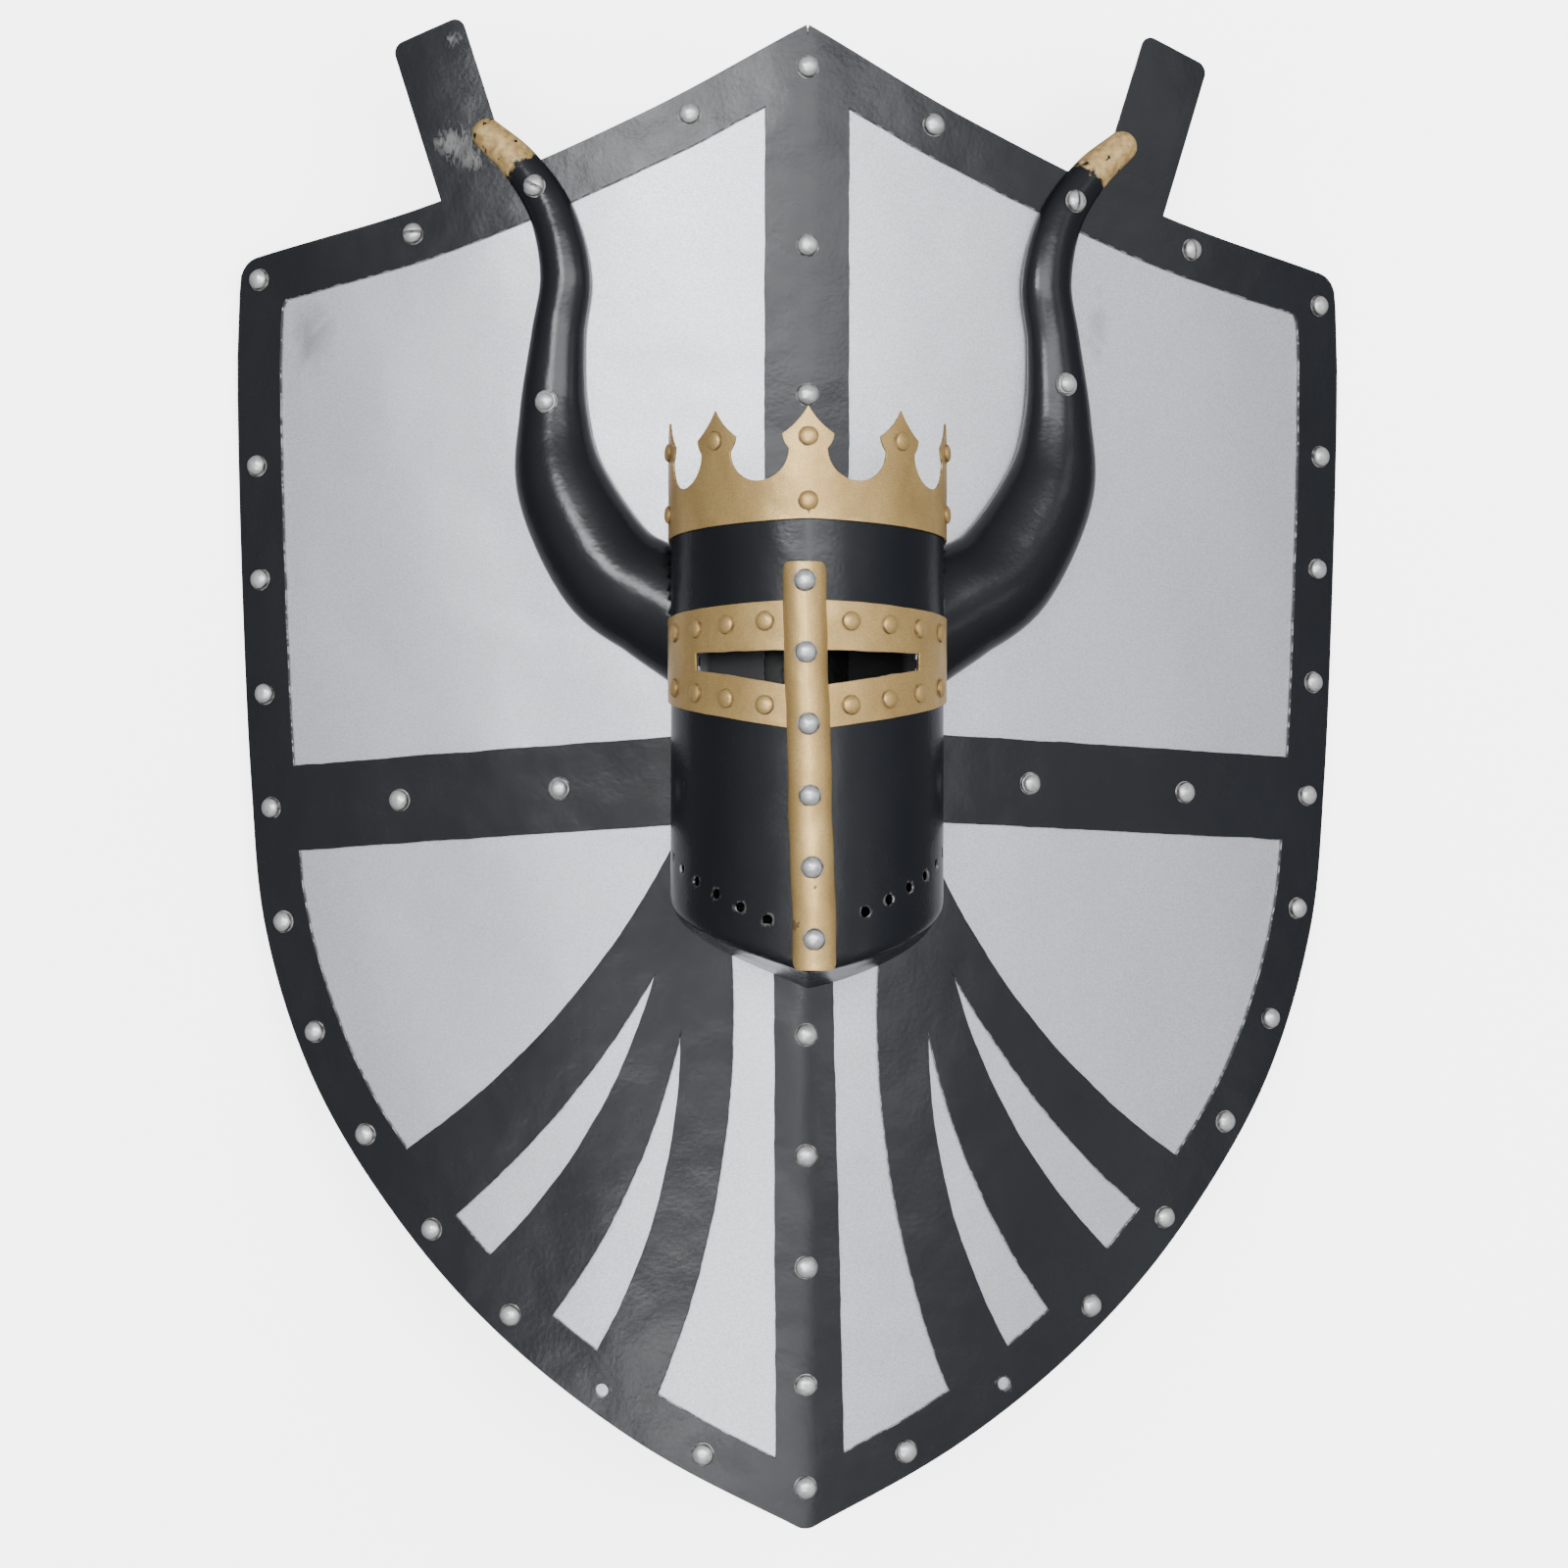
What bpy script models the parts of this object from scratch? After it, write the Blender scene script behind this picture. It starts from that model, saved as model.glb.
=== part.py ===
"""Wall shield of painted sheet steel: a silver back sheet under a cut-out black frame, both bent
along a rounded middle ridge, with a crowned half helm and two horns on the front, all riveted.

Lengths are in metres. The shield lies on its back: +X to its right, +Y to its peak, +Z out of its
front. While it is modelled, Z = 0 is the front of the frame sheet at the ridge and Y = 0 lies just
above the cross bar; the last step moves the origin to the middle of the foot of the whole part.
"""

import math

import bmesh
import bpy
import numpy as np
from mathutils import Matrix, Vector

# Sheets and fits
GAP = 0.0003
FRAME_SHEET = 0.0011
BACK_SHEET = 0.0010
HELM_SHEET = 0.0012
BAND_SHEET = 0.0011
HORN_SHEET = 0.0012
HOLE_PLAY = 0.0004

# Cross-section of the bent shield
RIDGE_RADIUS = 0.030
RIDGE_SLOPE = math.radians(7.5)
WING_RADIUS = 0.900
WING_STRIPS = 4

# Outline of the frame on the flat sheet, right half, as distance from the ridge and height
TOP_EDGE = ((0.0, 0.3596), (0.083, 0.3180), (0.183, 0.2815), (0.2895, 0.2595))
SIDE_EDGE = (
    (0.2895, 0.2595),
    (0.2915, 0.1970),
    (0.2885, 0.0980),
    (0.2830, 0.0),
    (0.2740, -0.0735),
    (0.2467, -0.1460),
    (0.2010, -0.2115),
    (0.1474, -0.2653),
    (0.0790, -0.3135),
    (0.0, -0.3522),
)
EDGE_STEPS = 2
CORNER_RADIUS = 0.012
BACK_INSET = 0.0008

# Tabs at the top
TAB_FOOT = {"left": 0.1800, "right": 0.1845}
TAB_WIDTH = 0.0380
TAB_LENGTH = 0.0810
TAB_LEAN = math.radians(18.5)
TAB_CORNER = 0.0055

# Windows: the border, the bars and the slots between the rays
BORDER = 0.0250
BAR_UPPER_WIDTH = 0.0406
BAR_LOWER = {"left": (0.0158, 0.0142), "right": (0.0106, 0.0195)}
CROSS_MIDDLE = 0.0060
CROSS_HEIGHT = 0.0420
CROSS_DROOP = math.radians(3.35)
CROSS_TILT = math.radians(0.6)
RAY_EDGE = {
    "left": ((0.0620, -0.0260), (0.1952, -0.1760), 0.0125),
    "right": ((0.0585, -0.0260), (0.1909, -0.1820), 0.0145),
}
SLOTS = (
    ((0.0725, -0.0910), (0.1690, -0.2060), 0.0066, (0.1527, -0.2254), 0.0105),
    ((0.0600, -0.1195), (0.1220, -0.2537), 0.0080, (0.0993, -0.2680), 0.0098),
)
WIDE_SLOT = ((0.0365, -0.0660), (0.0694, -0.2870), 0.0134)
SLOT_OVERRUN = 1.25
BOW_STEPS = 4

# Shield rivets
HEAD_DIAMETER = 0.0100
HEAD_HEIGHT = 0.0040
SHANK_DIAMETER = 0.0046
TAIL_PROUD = 0.0010
RIVET_SIDES = 6
HOLE_SIDES = 5
RIVET_INSET = 0.0110
END_RIVET_INSET = 0.0205
EDGE_RIVETS = 11
EDGE_START = 0.0540
EDGE_PITCH = {"left": 0.0566, "right": 0.0576}
CORNER_DROP = {"left": 0.0025, "right": 0.0080}
EMPTY_HOLE = 1
EMPTY_HOLE_DIAMETER = 0.0062
EMPTY_HOLE_SIDES = 8
TOP_RIVETS = {"left": (0.0562, 0.1942), "right": (0.0620, 0.2006)}
CENTRE_RIVETS = (0.2547, 0.1840, -0.1183, -0.1752, -0.2279, -0.2835)
CROSS_RIVETS = {"left": (0.1190, 0.2007), "right": (0.1119, 0.1968)}

# Half helm, turned a little on the shield; its own frame has X across, Y up and Z to its front
HELM_TURN = math.radians(4.0)
HELM_RADIUS = 0.0625
HELM_CENTRE = 0.0340
HELM_CREASE = 0.0040
HELM_STRIPS = 12
HELM_TOP = 0.1275
HELM_REACH = 0.0220
CHIN_FRONT = -0.0824
CHIN_FRONT_SIDE = -0.0520
CHIN_BACK = -0.0994
CHIN_BACK_SIDE = -0.0594
CHIN_ROUND = {"left": 0.95, "right": 1.25}
AIR_HOLES = 6
AIR_HOLE_DIAMETER = 0.0048
AIR_HOLE_SIDES = 6
AIR_HOLE_START = {"left": 0.0178, "right": 0.0262}
AIR_HOLE_PITCH = {"left": 0.0130, "right": 0.0122}
AIR_HOLE_LINE = (-0.0667, 0.41)

# Visor band and its eye slits
VISOR_TOP = 0.0798
VISOR_TOP_END = 0.0750
VISOR_FOOT = 0.0225
VISOR_FOOT_END = 0.0382
VISOR_INSET = 0.0085
VISOR_RIVETS = (17.0, 34.0, 51.0, 69.0)
SLIT_TOP = 0.0575
SLIT_FOOT = 0.0413
SLIT_FOOT_END = 0.0503
SLIT_START = 0.0070
SLIT_END = 0.0555

# Crown
CROWN_TIP = 0.1637
CROWN_BARB = (0.0112, 0.1515)
CROWN_NECK = (0.0083, 0.1450)
CROWN_BAND_TOP = 0.1315
CROWN_FOOT = 0.1146
CROWN_FOOT_END = 0.1104
CROWN_PITCH = math.radians(40.0)
CROWN_POINTS = 2
CROWN_UPPER_RIVET = 0.1503
CROWN_LOWER_RIVET = 0.1223
GOLD_HEAD_DIAMETER = 0.0082
GOLD_HEAD_HEIGHT = 0.0020
GOLD_HEAD_TAPER = 0.6
GOLD_HEAD_SIDES = 6

# Nose bar
NOSE_TOP = 0.0955
NOSE_FOOT = -0.0808
NOSE_WIDTH = 0.0190
NOSE_HEIGHT = 0.0068
NOSE_WALL = 0.0012
NOSE_CORNER = 0.0075
NOSE_SPANS = 8
NOSE_SHIFT = 0.0006
NOSE_LEAN = math.radians(1.7)
NOSE_RIVETS = 6
NOSE_RIVET_TOP = 0.0873
NOSE_RIVET_PITCH = 0.0309
NOSE_HEAD_DIAMETER = 0.0090
NOSE_HEAD_HEIGHT = 0.0036
NOSE_SHANK_DIAMETER = 0.0040

# Horns: the middle line seen from the helm's front, from the helm's side to the tip, with half widths
HORN_LINE = (
    (0.0480, 0.0740, 0.0310),
    (0.0700, 0.0860, 0.0280),
    (0.0945, 0.1030, 0.0260),
    (0.1165, 0.1420, 0.0220),
    (0.1210, 0.1770, 0.0165),
    (0.1190, 0.2140, 0.0130),
    (0.1155, 0.2430, 0.0122),
    (0.1225, 0.2735, 0.0106),
    (0.1375, 0.2970, 0.0090),
    (0.1540, 0.3130, 0.0074),
)
HORN_STEPS = 2
HORN_RISE = 0.80
HORN_SPANS = 6
HORN_RIM = 0.0020
HORN_RIVETS = {"left": (0.1810, 0.2847), "right": (0.1926, 0.2818)}

# Colour, roughness and metallic value of each paint
PAINTS = {
    "black_paint": ((0.014, 0.016, 0.019), 0.28, 0.0),
    "silver_paint": ((0.56, 0.56, 0.59), 0.45, 0.6),
    "gold_paint": ((0.52, 0.35, 0.13), 0.38, 0.7),
    "rivet_steel": ((0.62, 0.62, 0.62), 0.30, 1.0),
}

SIDES = {"left": -1, "right": 1}
FAR = 0.5
FLATNESS = math.radians(0.3)
WELD = 1e-6


def clear_scene():
    for obj in list(bpy.data.objects):
        bpy.data.objects.remove(obj)


def new_collection(name, hidden):
    group = bpy.data.collections.new(name)
    group.hide_render = hidden
    bpy.context.scene.collection.children.link(group)
    return group


def paint(name):
    """The named paint as a material, made once."""
    if name in bpy.data.materials:
        return bpy.data.materials[name]
    colour, roughness, metallic = PAINTS[name]
    material = bpy.data.materials.new(name)
    material.use_nodes = True
    shader = material.node_tree.nodes["Principled BSDF"]
    shader.inputs["Base Color"].default_value = (*colour, 1.0)
    shader.inputs["Roughness"].default_value = roughness
    shader.inputs["Metallic"].default_value = metallic
    material.diffuse_color = (*colour, 1.0)
    return material


def smooth_line(points, steps):
    """Points of a Catmull-Rom curve through the given ones, with some steps in each span."""
    p = [np.array(point, float) for point in points]
    p = [2 * p[0] - p[1], *p, 2 * p[-1] - p[-2]]
    line = []
    for a, b, c, d in zip(p, p[1:], p[2:], p[3:]):
        for step in range(steps):
            t = step / steps
            square, cube = 2 * a - 5 * b + 4 * c - d, 3 * b - a - 3 * c + d
            line.append(0.5 * (2 * b + (c - a) * t + square * t**2 + cube * t**3))
    return [*line, p[-2]]


def bowed(start, end, bow, reach=1.0):
    """A parabola from start to end, or past it by reach, that bulges to the right of its way."""
    a, b = np.array(start), np.array(end)
    way = b - a
    side = np.array((way[1], -way[0])) / np.linalg.norm(way)
    return [a + way * t + side * bow * 4 * t * (1 - t) for t in np.linspace(0.0, reach, BOW_STEPS + 1)]


def nearest(spot, line):
    """Distance from a spot to an open line."""
    found = []
    for a, b in zip(line, line[1:]):
        share = np.clip((spot - a) @ (b - a) / ((b - a) @ (b - a)), 0, 1)
        found.append(np.linalg.norm(spot - a - share * (b - a)))
    return min(found)


def inset(line, distance):
    """The open line moved to the right of its way, its corners mitred and its ends kept on the ridge."""
    line = [np.array(point, float) for point in line]
    ways = [(b - a) / np.linalg.norm(b - a) for a, b in zip(line, line[1:])]
    rights = [np.array((way[1], -way[0])) for way in ways]
    moved = [np.array((0.0, line[0][1] + distance / rights[0][1]))]
    for point, before, after in zip(line[1:], rights, rights[1:]):
        moved.append(point + distance * (before + after) / (1 + before @ after))
    moved.append(np.array((0.0, line[-1][1] + distance / rights[-1][1])))
    return [spot for spot in moved if nearest(spot, line) > distance - WELD]


def rounded(points, radius, steps=3):
    """The corner at the middle one of three points, as an arc of that radius."""
    a, b, c = (np.array(point, float) for point in points)
    one, two = (a - b) / np.linalg.norm(a - b), (c - b) / np.linalg.norm(c - b)
    half = math.acos(one @ two) / 2
    start, end = b + one * radius / math.tan(half), b + two * radius / math.tan(half)
    middle = b + (one + two) / np.linalg.norm(one + two) * radius / math.sin(half)
    swept = math.pi - 2 * half
    arc = []
    for step in range(steps + 1):
        t = step / steps
        mix = (start - middle) * math.sin((1 - t) * swept) + (end - middle) * math.sin(t * swept)
        arc.append(middle + mix / math.sin(swept))
    return arc


def flipped(line):
    """The line mirrored at the ridge, its way turned round."""
    return [np.array((-point[0], point[1])) for point in reversed(line)]


def closed(right, left):
    """One outline of two half lines from the ridge back to the ridge, the left one drawn mirrored."""
    return [*right, *(point for point in flipped(left) if abs(point[0]) > WELD)]


def half_outline():
    """The right half of the outline with its corner sharp, from the peak to the tip."""
    top = smooth_line(TOP_EDGE, EDGE_STEPS)
    return [*top, *smooth_line(SIDE_EDGE, EDGE_STEPS)[1:]], len(top) - 1


def tab_outline(side):
    """A tab, drawn on the right, from its inner edge's foot round its end to its outer edge's foot."""
    way = np.array((math.sin(TAB_LEAN), math.cos(TAB_LEAN)))
    across = np.array((-way[1], way[0])) * TAB_WIDTH
    foot = np.array((TAB_FOOT[side], height_of_top(TAB_FOOT[side])))
    outer, inner = foot + way * TAB_LENGTH, foot + way * TAB_LENGTH + across
    inner_foot = foot + across
    while inner_foot[1] > height_of_top(inner_foot[0]):
        inner_foot = inner_foot - way * TAB_LENGTH / 200
    end = [*rounded((inner_foot, inner, outer), TAB_CORNER), *rounded((inner, outer, foot), TAB_CORNER)]
    return [inner_foot, *end, foot]


def height_of_top(across):
    """Height of the frame's top edge at a distance from the ridge."""
    line = np.array(smooth_line(TOP_EDGE, EDGE_STEPS))
    return float(np.interp(across, line[:, 0], line[:, 1]))


def frame_outline(tabs):
    """The whole closed outline, with or without the tabs."""
    line, corner = half_outline()
    round_corner = rounded(line[corner - 1 : corner + 2], CORNER_RADIUS)
    halves = []
    for side in ("right", "left"):
        top = line[:corner]
        if tabs:
            tab = tab_outline(side)
            inside = [point for point in top if point[0] < tab[0][0] - WELD]
            outside = [point for point in top if point[0] > tab[-1][0] + WELD]
            top = [*inside, *tab, *outside]
        halves.append([*top, *round_corner, *line[corner + 1 :]])
    return closed(*halves)


def inner_outline(distance):
    """The closed outline moved in by a distance, without the tabs."""
    half = inset(half_outline()[0], distance)
    return closed(half, half)


class Bend:
    """A bent sheet's cross-section: flat strips between folds, whose offsets stay parallel."""

    def __init__(self, folds, points):
        self.folds = np.array(folds)
        self.points = np.array(points)
        ways = np.diff(self.points, axis=0)
        ways /= np.linalg.norm(ways, axis=1)[:, None]
        self.normals = np.stack((-ways[:, 1], ways[:, 0]), axis=1)
        before = np.vstack((self.normals[:1], self.normals))
        after = np.vstack((self.normals, self.normals[-1:]))
        self.mitres = (before + after) / (1 + np.sum(before * after, axis=1))[:, None]

    def strip(self, along):
        return int(np.clip(np.searchsorted(self.folds, along) - 1, 0, len(self.folds) - 2))

    def place(self, along, lift):
        """(x, z) of a spot given by its distance along the sheet and its lift off it."""
        k = self.strip(along)
        share = (along - self.folds[k]) / (self.folds[k + 1] - self.folds[k])
        ends = self.points[k : k + 2] + lift * self.mitres[k : k + 2]
        return ends[0] + share * (ends[1] - ends[0])

    def normal(self, along):
        return self.normals[self.strip(along)]

    def seat(self, along, height, lift):
        """The matrix that stands a piece, built along +Z, on the sheet."""
        x, z = self.place(along, lift)
        out = self.normal(along)
        turn = Vector((0, 0, 1)).rotation_difference(Vector((out[0], 0, out[1])))
        return Matrix.Translation((x, height, z)) @ turn.to_matrix().to_4x4()


def shield_bend():
    """The shield across: a rounded ridge between two wings that curve away."""
    ridge = RIDGE_RADIUS * RIDGE_SLOPE
    reach = 1.02 * max(point[0] for point in SIDE_EDGE)
    folds, points = [], []
    for step in range(WING_STRIPS + 2):
        if step == 0:
            folds.append(0.0)
            points.append((0.0, 0.0))
            continue
        run = (reach - ridge) * (step - 1) / WING_STRIPS
        slope = RIDGE_SLOPE + run / WING_RADIUS
        wing_x = WING_RADIUS * (math.sin(slope) - math.sin(RIDGE_SLOPE))
        wing_z = WING_RADIUS * (math.cos(slope) - math.cos(RIDGE_SLOPE))
        folds.append(ridge + run)
        points.append((
            RIDGE_RADIUS * math.sin(RIDGE_SLOPE) + wing_x,
            RIDGE_RADIUS * (math.cos(RIDGE_SLOPE) - 1) + wing_z,
        ))
    left = [-fold for fold in reversed(folds[1:])], [(-x, z) for x, z in reversed(points[1:])]
    return Bend(left[0] + folds, left[1] + points)


def helm_bend():
    """The helm's outer face across: a half round with a front crease, then straight sides back."""
    quarter = HELM_RADIUS * math.pi / 2
    back = HELM_CENTRE + HELM_REACH
    folds, points = [-quarter - back], [(-HELM_RADIUS, -HELM_REACH)]
    for step in range(HELM_STRIPS + 1):
        angle = math.pi * (step / HELM_STRIPS - 0.5)
        folds.append(HELM_RADIUS * angle)
        rise = HELM_RADIUS * math.cos(angle) + HELM_CREASE * (1 - abs(math.sin(angle)))
        points.append((HELM_RADIUS * math.sin(angle), HELM_CENTRE + rise))
    return Bend([*folds, quarter + back], [*points, (HELM_RADIUS, -HELM_REACH)])


SHIELD = shield_bend()
HELM = helm_bend()
HELM_FRAME = Matrix.Rotation(-HELM_TURN, 4, "Y")


def add_object(name, mesh, group, matrix=None):
    obj = bpy.data.objects.new(name, mesh)
    obj.matrix_world = matrix or Matrix.Identity(4)
    group.objects.link(obj)
    return obj


def baked(obj):
    """The object with its modifiers worked into its mesh."""
    graph = bpy.context.evaluated_depsgraph_get()
    mesh = bpy.data.meshes.new_from_object(obj.evaluated_get(graph))
    obj.modifiers.clear()
    obj.data = mesh
    return obj


def plate(name, outlines, low, high, group):
    """A flat sheet of the closed outlines, its faces at Z = low and high, made from a filled curve."""
    curve = bpy.data.curves.new(name, "CURVE")
    curve.dimensions = "2D"
    curve.fill_mode = "BOTH"
    curve.extrude = (high - low) / 2
    for outline in outlines:
        spline = curve.splines.new("POLY")
        spline.points.add(len(outline) - 1)
        for point, (x, y) in zip(spline.points, outline):
            point.co = (x, y, 0, 1)
        spline.use_cyclic_u = True
    drawn = add_object(name, curve, group)
    graph = bpy.context.evaluated_depsgraph_get()
    mesh = bpy.data.meshes.new_from_object(drawn.evaluated_get(graph))
    bpy.data.objects.remove(drawn)
    shape = bmesh.new()
    shape.from_mesh(mesh)
    bmesh.ops.remove_doubles(shape, verts=shape.verts, dist=WELD)
    bmesh.ops.recalc_face_normals(shape, faces=shape.faces)
    if shape.calc_volume(signed=True) < 0:
        bmesh.ops.reverse_faces(shape, faces=shape.faces)
    bmesh.ops.translate(shape, verts=shape.verts, vec=(0, 0, (low + high) / 2))
    shape.to_mesh(mesh)
    shape.free()
    return add_object(name, mesh, group)


def pegs(name, seats, radius, low, high, sides, group, taper=1.0):
    """Prisms or cut cones between Z = low and high of each seat matrix, all in one object."""
    shape = bmesh.new()
    middle = Matrix.Translation((0, 0, (low + high) / 2))
    for seat in seats:
        bmesh.ops.create_cone(
            shape,
            cap_ends=True,
            segments=sides,
            radius1=radius,
            radius2=radius * taper,
            depth=high - low,
            matrix=seat @ middle,
        )
    mesh = bpy.data.meshes.new(name)
    shape.to_mesh(mesh)
    shape.free()
    return add_object(name, mesh, group)


def upright(spots):
    return [Matrix.Translation((x, y, 0)) for x, y in spots]


def combine(obj, other, operation):
    modifier = obj.modifiers.new(operation.title(), "BOOLEAN")
    modifier.operation = operation
    modifier.object = other
    other.hide_render = True
    other.display_type = "WIRE"
    return obj


def rolled(obj, bend):
    """The flat sheet cut along the bend's folds and bent: X was the way along it, Z the lift off it."""
    shape = bmesh.new()
    shape.from_mesh(obj.data)
    bmesh.ops.dissolve_limit(shape, angle_limit=FLATNESS, verts=shape.verts, edges=shape.edges)
    for fold in bend.folds[1:-1]:
        everything = [*shape.verts, *shape.edges, *shape.faces]
        bmesh.ops.bisect_plane(shape, geom=everything, dist=WELD, plane_co=(fold, 0, 0), plane_no=(1, 0, 0))
    for vert in shape.verts:
        x, z = bend.place(vert.co.x, vert.co.z)
        vert.co = (x, vert.co.y, z)
    shape.to_mesh(obj.data)
    shape.free()
    return obj


def dressed(obj, paint_name, group):
    """A finished sub-part: in its collection, with its paint, round where it is round."""
    for other in obj.users_collection:
        other.objects.unlink(obj)
    group.objects.link(obj)
    obj.data.materials.clear()
    obj.data.materials.append(paint(paint_name))
    obj.data.shade_smooth()
    obj.data.set_sharp_from_angle(angle=math.radians(35))
    return obj


def rivet(name, seat, diameter, height, shank, length, group):
    """A domed rivet: its head stands on the seat matrix's Z = 0 and its shank runs down from there."""
    rim, stem = diameter / 2, shank / 2
    profile = [(0, height), (rim * 0.72, height * 0.68), (rim, 0), (stem, 0), (stem, -length), (0, -length)]
    mesh = bpy.data.meshes.new(name)
    mesh.from_pydata([(x, 0, z) for x, z in profile], [(k, k + 1) for k in range(len(profile) - 1)], [])
    obj = add_object(name, mesh, group, seat)
    turn = obj.modifiers.new("Turn", "SCREW")
    turn.steps = turn.render_steps = RIVET_SIDES
    turn.use_merge_vertices = True
    turn.merge_threshold = WELD
    turn.use_smooth_shade = True
    return dressed(obj, "rivet_steel", group)


def edge_rivets(side):
    """Spots along one side from the tip up: evenly spaced ones, then the one in the corner."""
    line, corner = half_outline()
    way_up = np.array(list(reversed(inset(line, RIVET_INSET)))[: len(line) - corner])
    steps = np.linalg.norm(np.diff(way_up, axis=0), axis=1)
    run = np.concatenate(([0.0], np.cumsum(steps)))
    at = [EDGE_START + k * EDGE_PITCH[side] for k in range(EDGE_RIVETS)] + [run[-1] - CORNER_DROP[side]]
    return [(SIDES[side] * np.interp(d, run, way_up[:, 0]), np.interp(d, run, way_up[:, 1])) for d in at]


def cross_height(across):
    """Height of the cross bar's middle, whose arms droop and which tilts a little as a whole."""
    return CROSS_MIDDLE - math.tan(CROSS_DROOP) * abs(across) + math.tan(CROSS_TILT) * across


def bar_edge(side, height):
    """Distance of the lower bar's edge from the ridge, between its values at height 0 and at the tip."""
    start, end = BAR_LOWER[side]
    return start + (end - start) * height / SIDE_EDGE[-1][1]


def shield_rivet_spots():
    """Name and spot of every rivet that goes through the two sheets, and the two empty holes."""
    spots, empty = {}, []
    peak, tip = TOP_EDGE[0][1], SIDE_EDGE[-1][1]
    spots["rivet_peak"] = (0.0, peak - END_RIVET_INSET)
    spots["rivet_tip"] = (0.0, tip + END_RIVET_INSET)
    for number, height in enumerate(CENTRE_RIVETS, 1):
        spots[f"rivet_centre_{number}"] = (0.0, height)
    top = np.array(inset(half_outline()[0], RIVET_INSET))[: half_outline()[1]]
    for side, sign in SIDES.items():
        for number, spot in enumerate(edge_rivets(side)):
            if number == EMPTY_HOLE:
                empty.append(spot)
            else:
                spots[f"rivet_edge_{side}_{number + 1:02d}"] = spot
        for number, across in enumerate(TOP_RIVETS[side], 1):
            height = float(np.interp(across, top[:, 0], top[:, 1]))
            spots[f"rivet_top_{side}_{number}"] = (sign * across, height)
        for number, across in enumerate(CROSS_RIVETS[side], 1):
            spots[f"rivet_cross_{side}_{number}"] = (sign * across, cross_height(sign * across))
    return spots, empty


def along_at(across):
    """Distance along the shield sheet of a spot that the helm's front view shows at that X."""
    folds = SHIELD.folds
    turn = Matrix.Rotation(HELM_TURN, 3, "Y")
    seen = [(turn @ Vector((x, 0, z))).x for x, z in SHIELD.points]
    return float(np.interp(across, seen, folds))


def horn_rise(half_width):
    return HORN_RISE * half_width


def horn_rivet_spots(side):
    """(along, height, lift) of each rivet on the crest of a horn."""
    line = np.array(smooth_line(HORN_LINE, HORN_STEPS))
    spots = []
    for height in HORN_RIVETS[side]:
        x = np.interp(height, line[:, 1], line[:, 0])
        half_below = np.interp(height - HEAD_DIAMETER / 2, line[:, 1], line[:, 2])
        spots.append((along_at(SIDES[side] * x), height, horn_rise(half_below)))
    return spots


def window_cutter(group):
    """The four large windows: all inside the border but for the bars and the fan of rays."""
    low, high = -FAR / 10, FAR / 10
    windows = plate("windows", [inner_outline(BORDER)], low, high, group)
    upper, half, tip = BAR_UPPER_WIDTH / 2, CROSS_HEIGHT / 2, SIDE_EDGE[-1][1]
    bars, fans = [], []
    for side in ("right", "left"):
        lower = [(bar_edge(side, height), height) for height in (0, tip)]
        bars.append([(0, FAR), (upper, FAR), (upper, 0), *lower, (0, tip)])
        edge = bowed(*RAY_EDGE[side], reach=SLOT_OVERRUN)
        start = (edge[0][0], cross_height(0))
        fans.append([(0, cross_height(0)), start, *edge, (edge[-1][0], -FAR), (0, -FAR)])
    cross = [(x, cross_height(x) + half) for x in (-FAR, 0, FAR)]
    cross += [(x, cross_height(x) - half) for x in (FAR, 0, -FAR)]
    for number, outline in enumerate((closed(*bars), cross, closed(*fans))):
        combine(windows, plate(f"bar_{number}", [outline], 2 * low, 2 * high, group), "DIFFERENCE")
    return baked(windows)


def slot_cutter(group):
    """The slots between the rays, cut off along the border."""
    low, high = -FAR / 10, FAR / 10
    outlines = []
    for tip, outer_end, outer_bow, inner_end, inner_bow in SLOTS:
        outer = bowed(tip, outer_end, outer_bow, SLOT_OVERRUN)
        inner = bowed(tip, inner_end, inner_bow, SLOT_OVERRUN)
        slot = [*outer, *reversed(inner[1:])]
        outlines += [slot, flipped(slot)]
    edge = bowed(*WIDE_SLOT, reach=SLOT_OVERRUN)
    wide = {}
    for side in SIDES:
        start, end = (np.array((bar_edge(side, height), height)) for height in (edge[0][1], edge[-1][1]))
        wide[side] = [start, *edge, end]
    outlines += [wide["right"], flipped(wide["left"])]
    slots = plate("slots", outlines, low, high, group)
    combine(slots, plate("slot_limit", [inner_outline(BORDER)], 2 * low, 2 * high, group), "INTERSECT")
    return baked(slots)


def hole_radius(diameter):
    """Circumradius of a hole whose flats clear a shank of that diameter."""
    return (diameter / 2 + HOLE_PLAY) / math.cos(math.pi / HOLE_SIDES)


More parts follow.
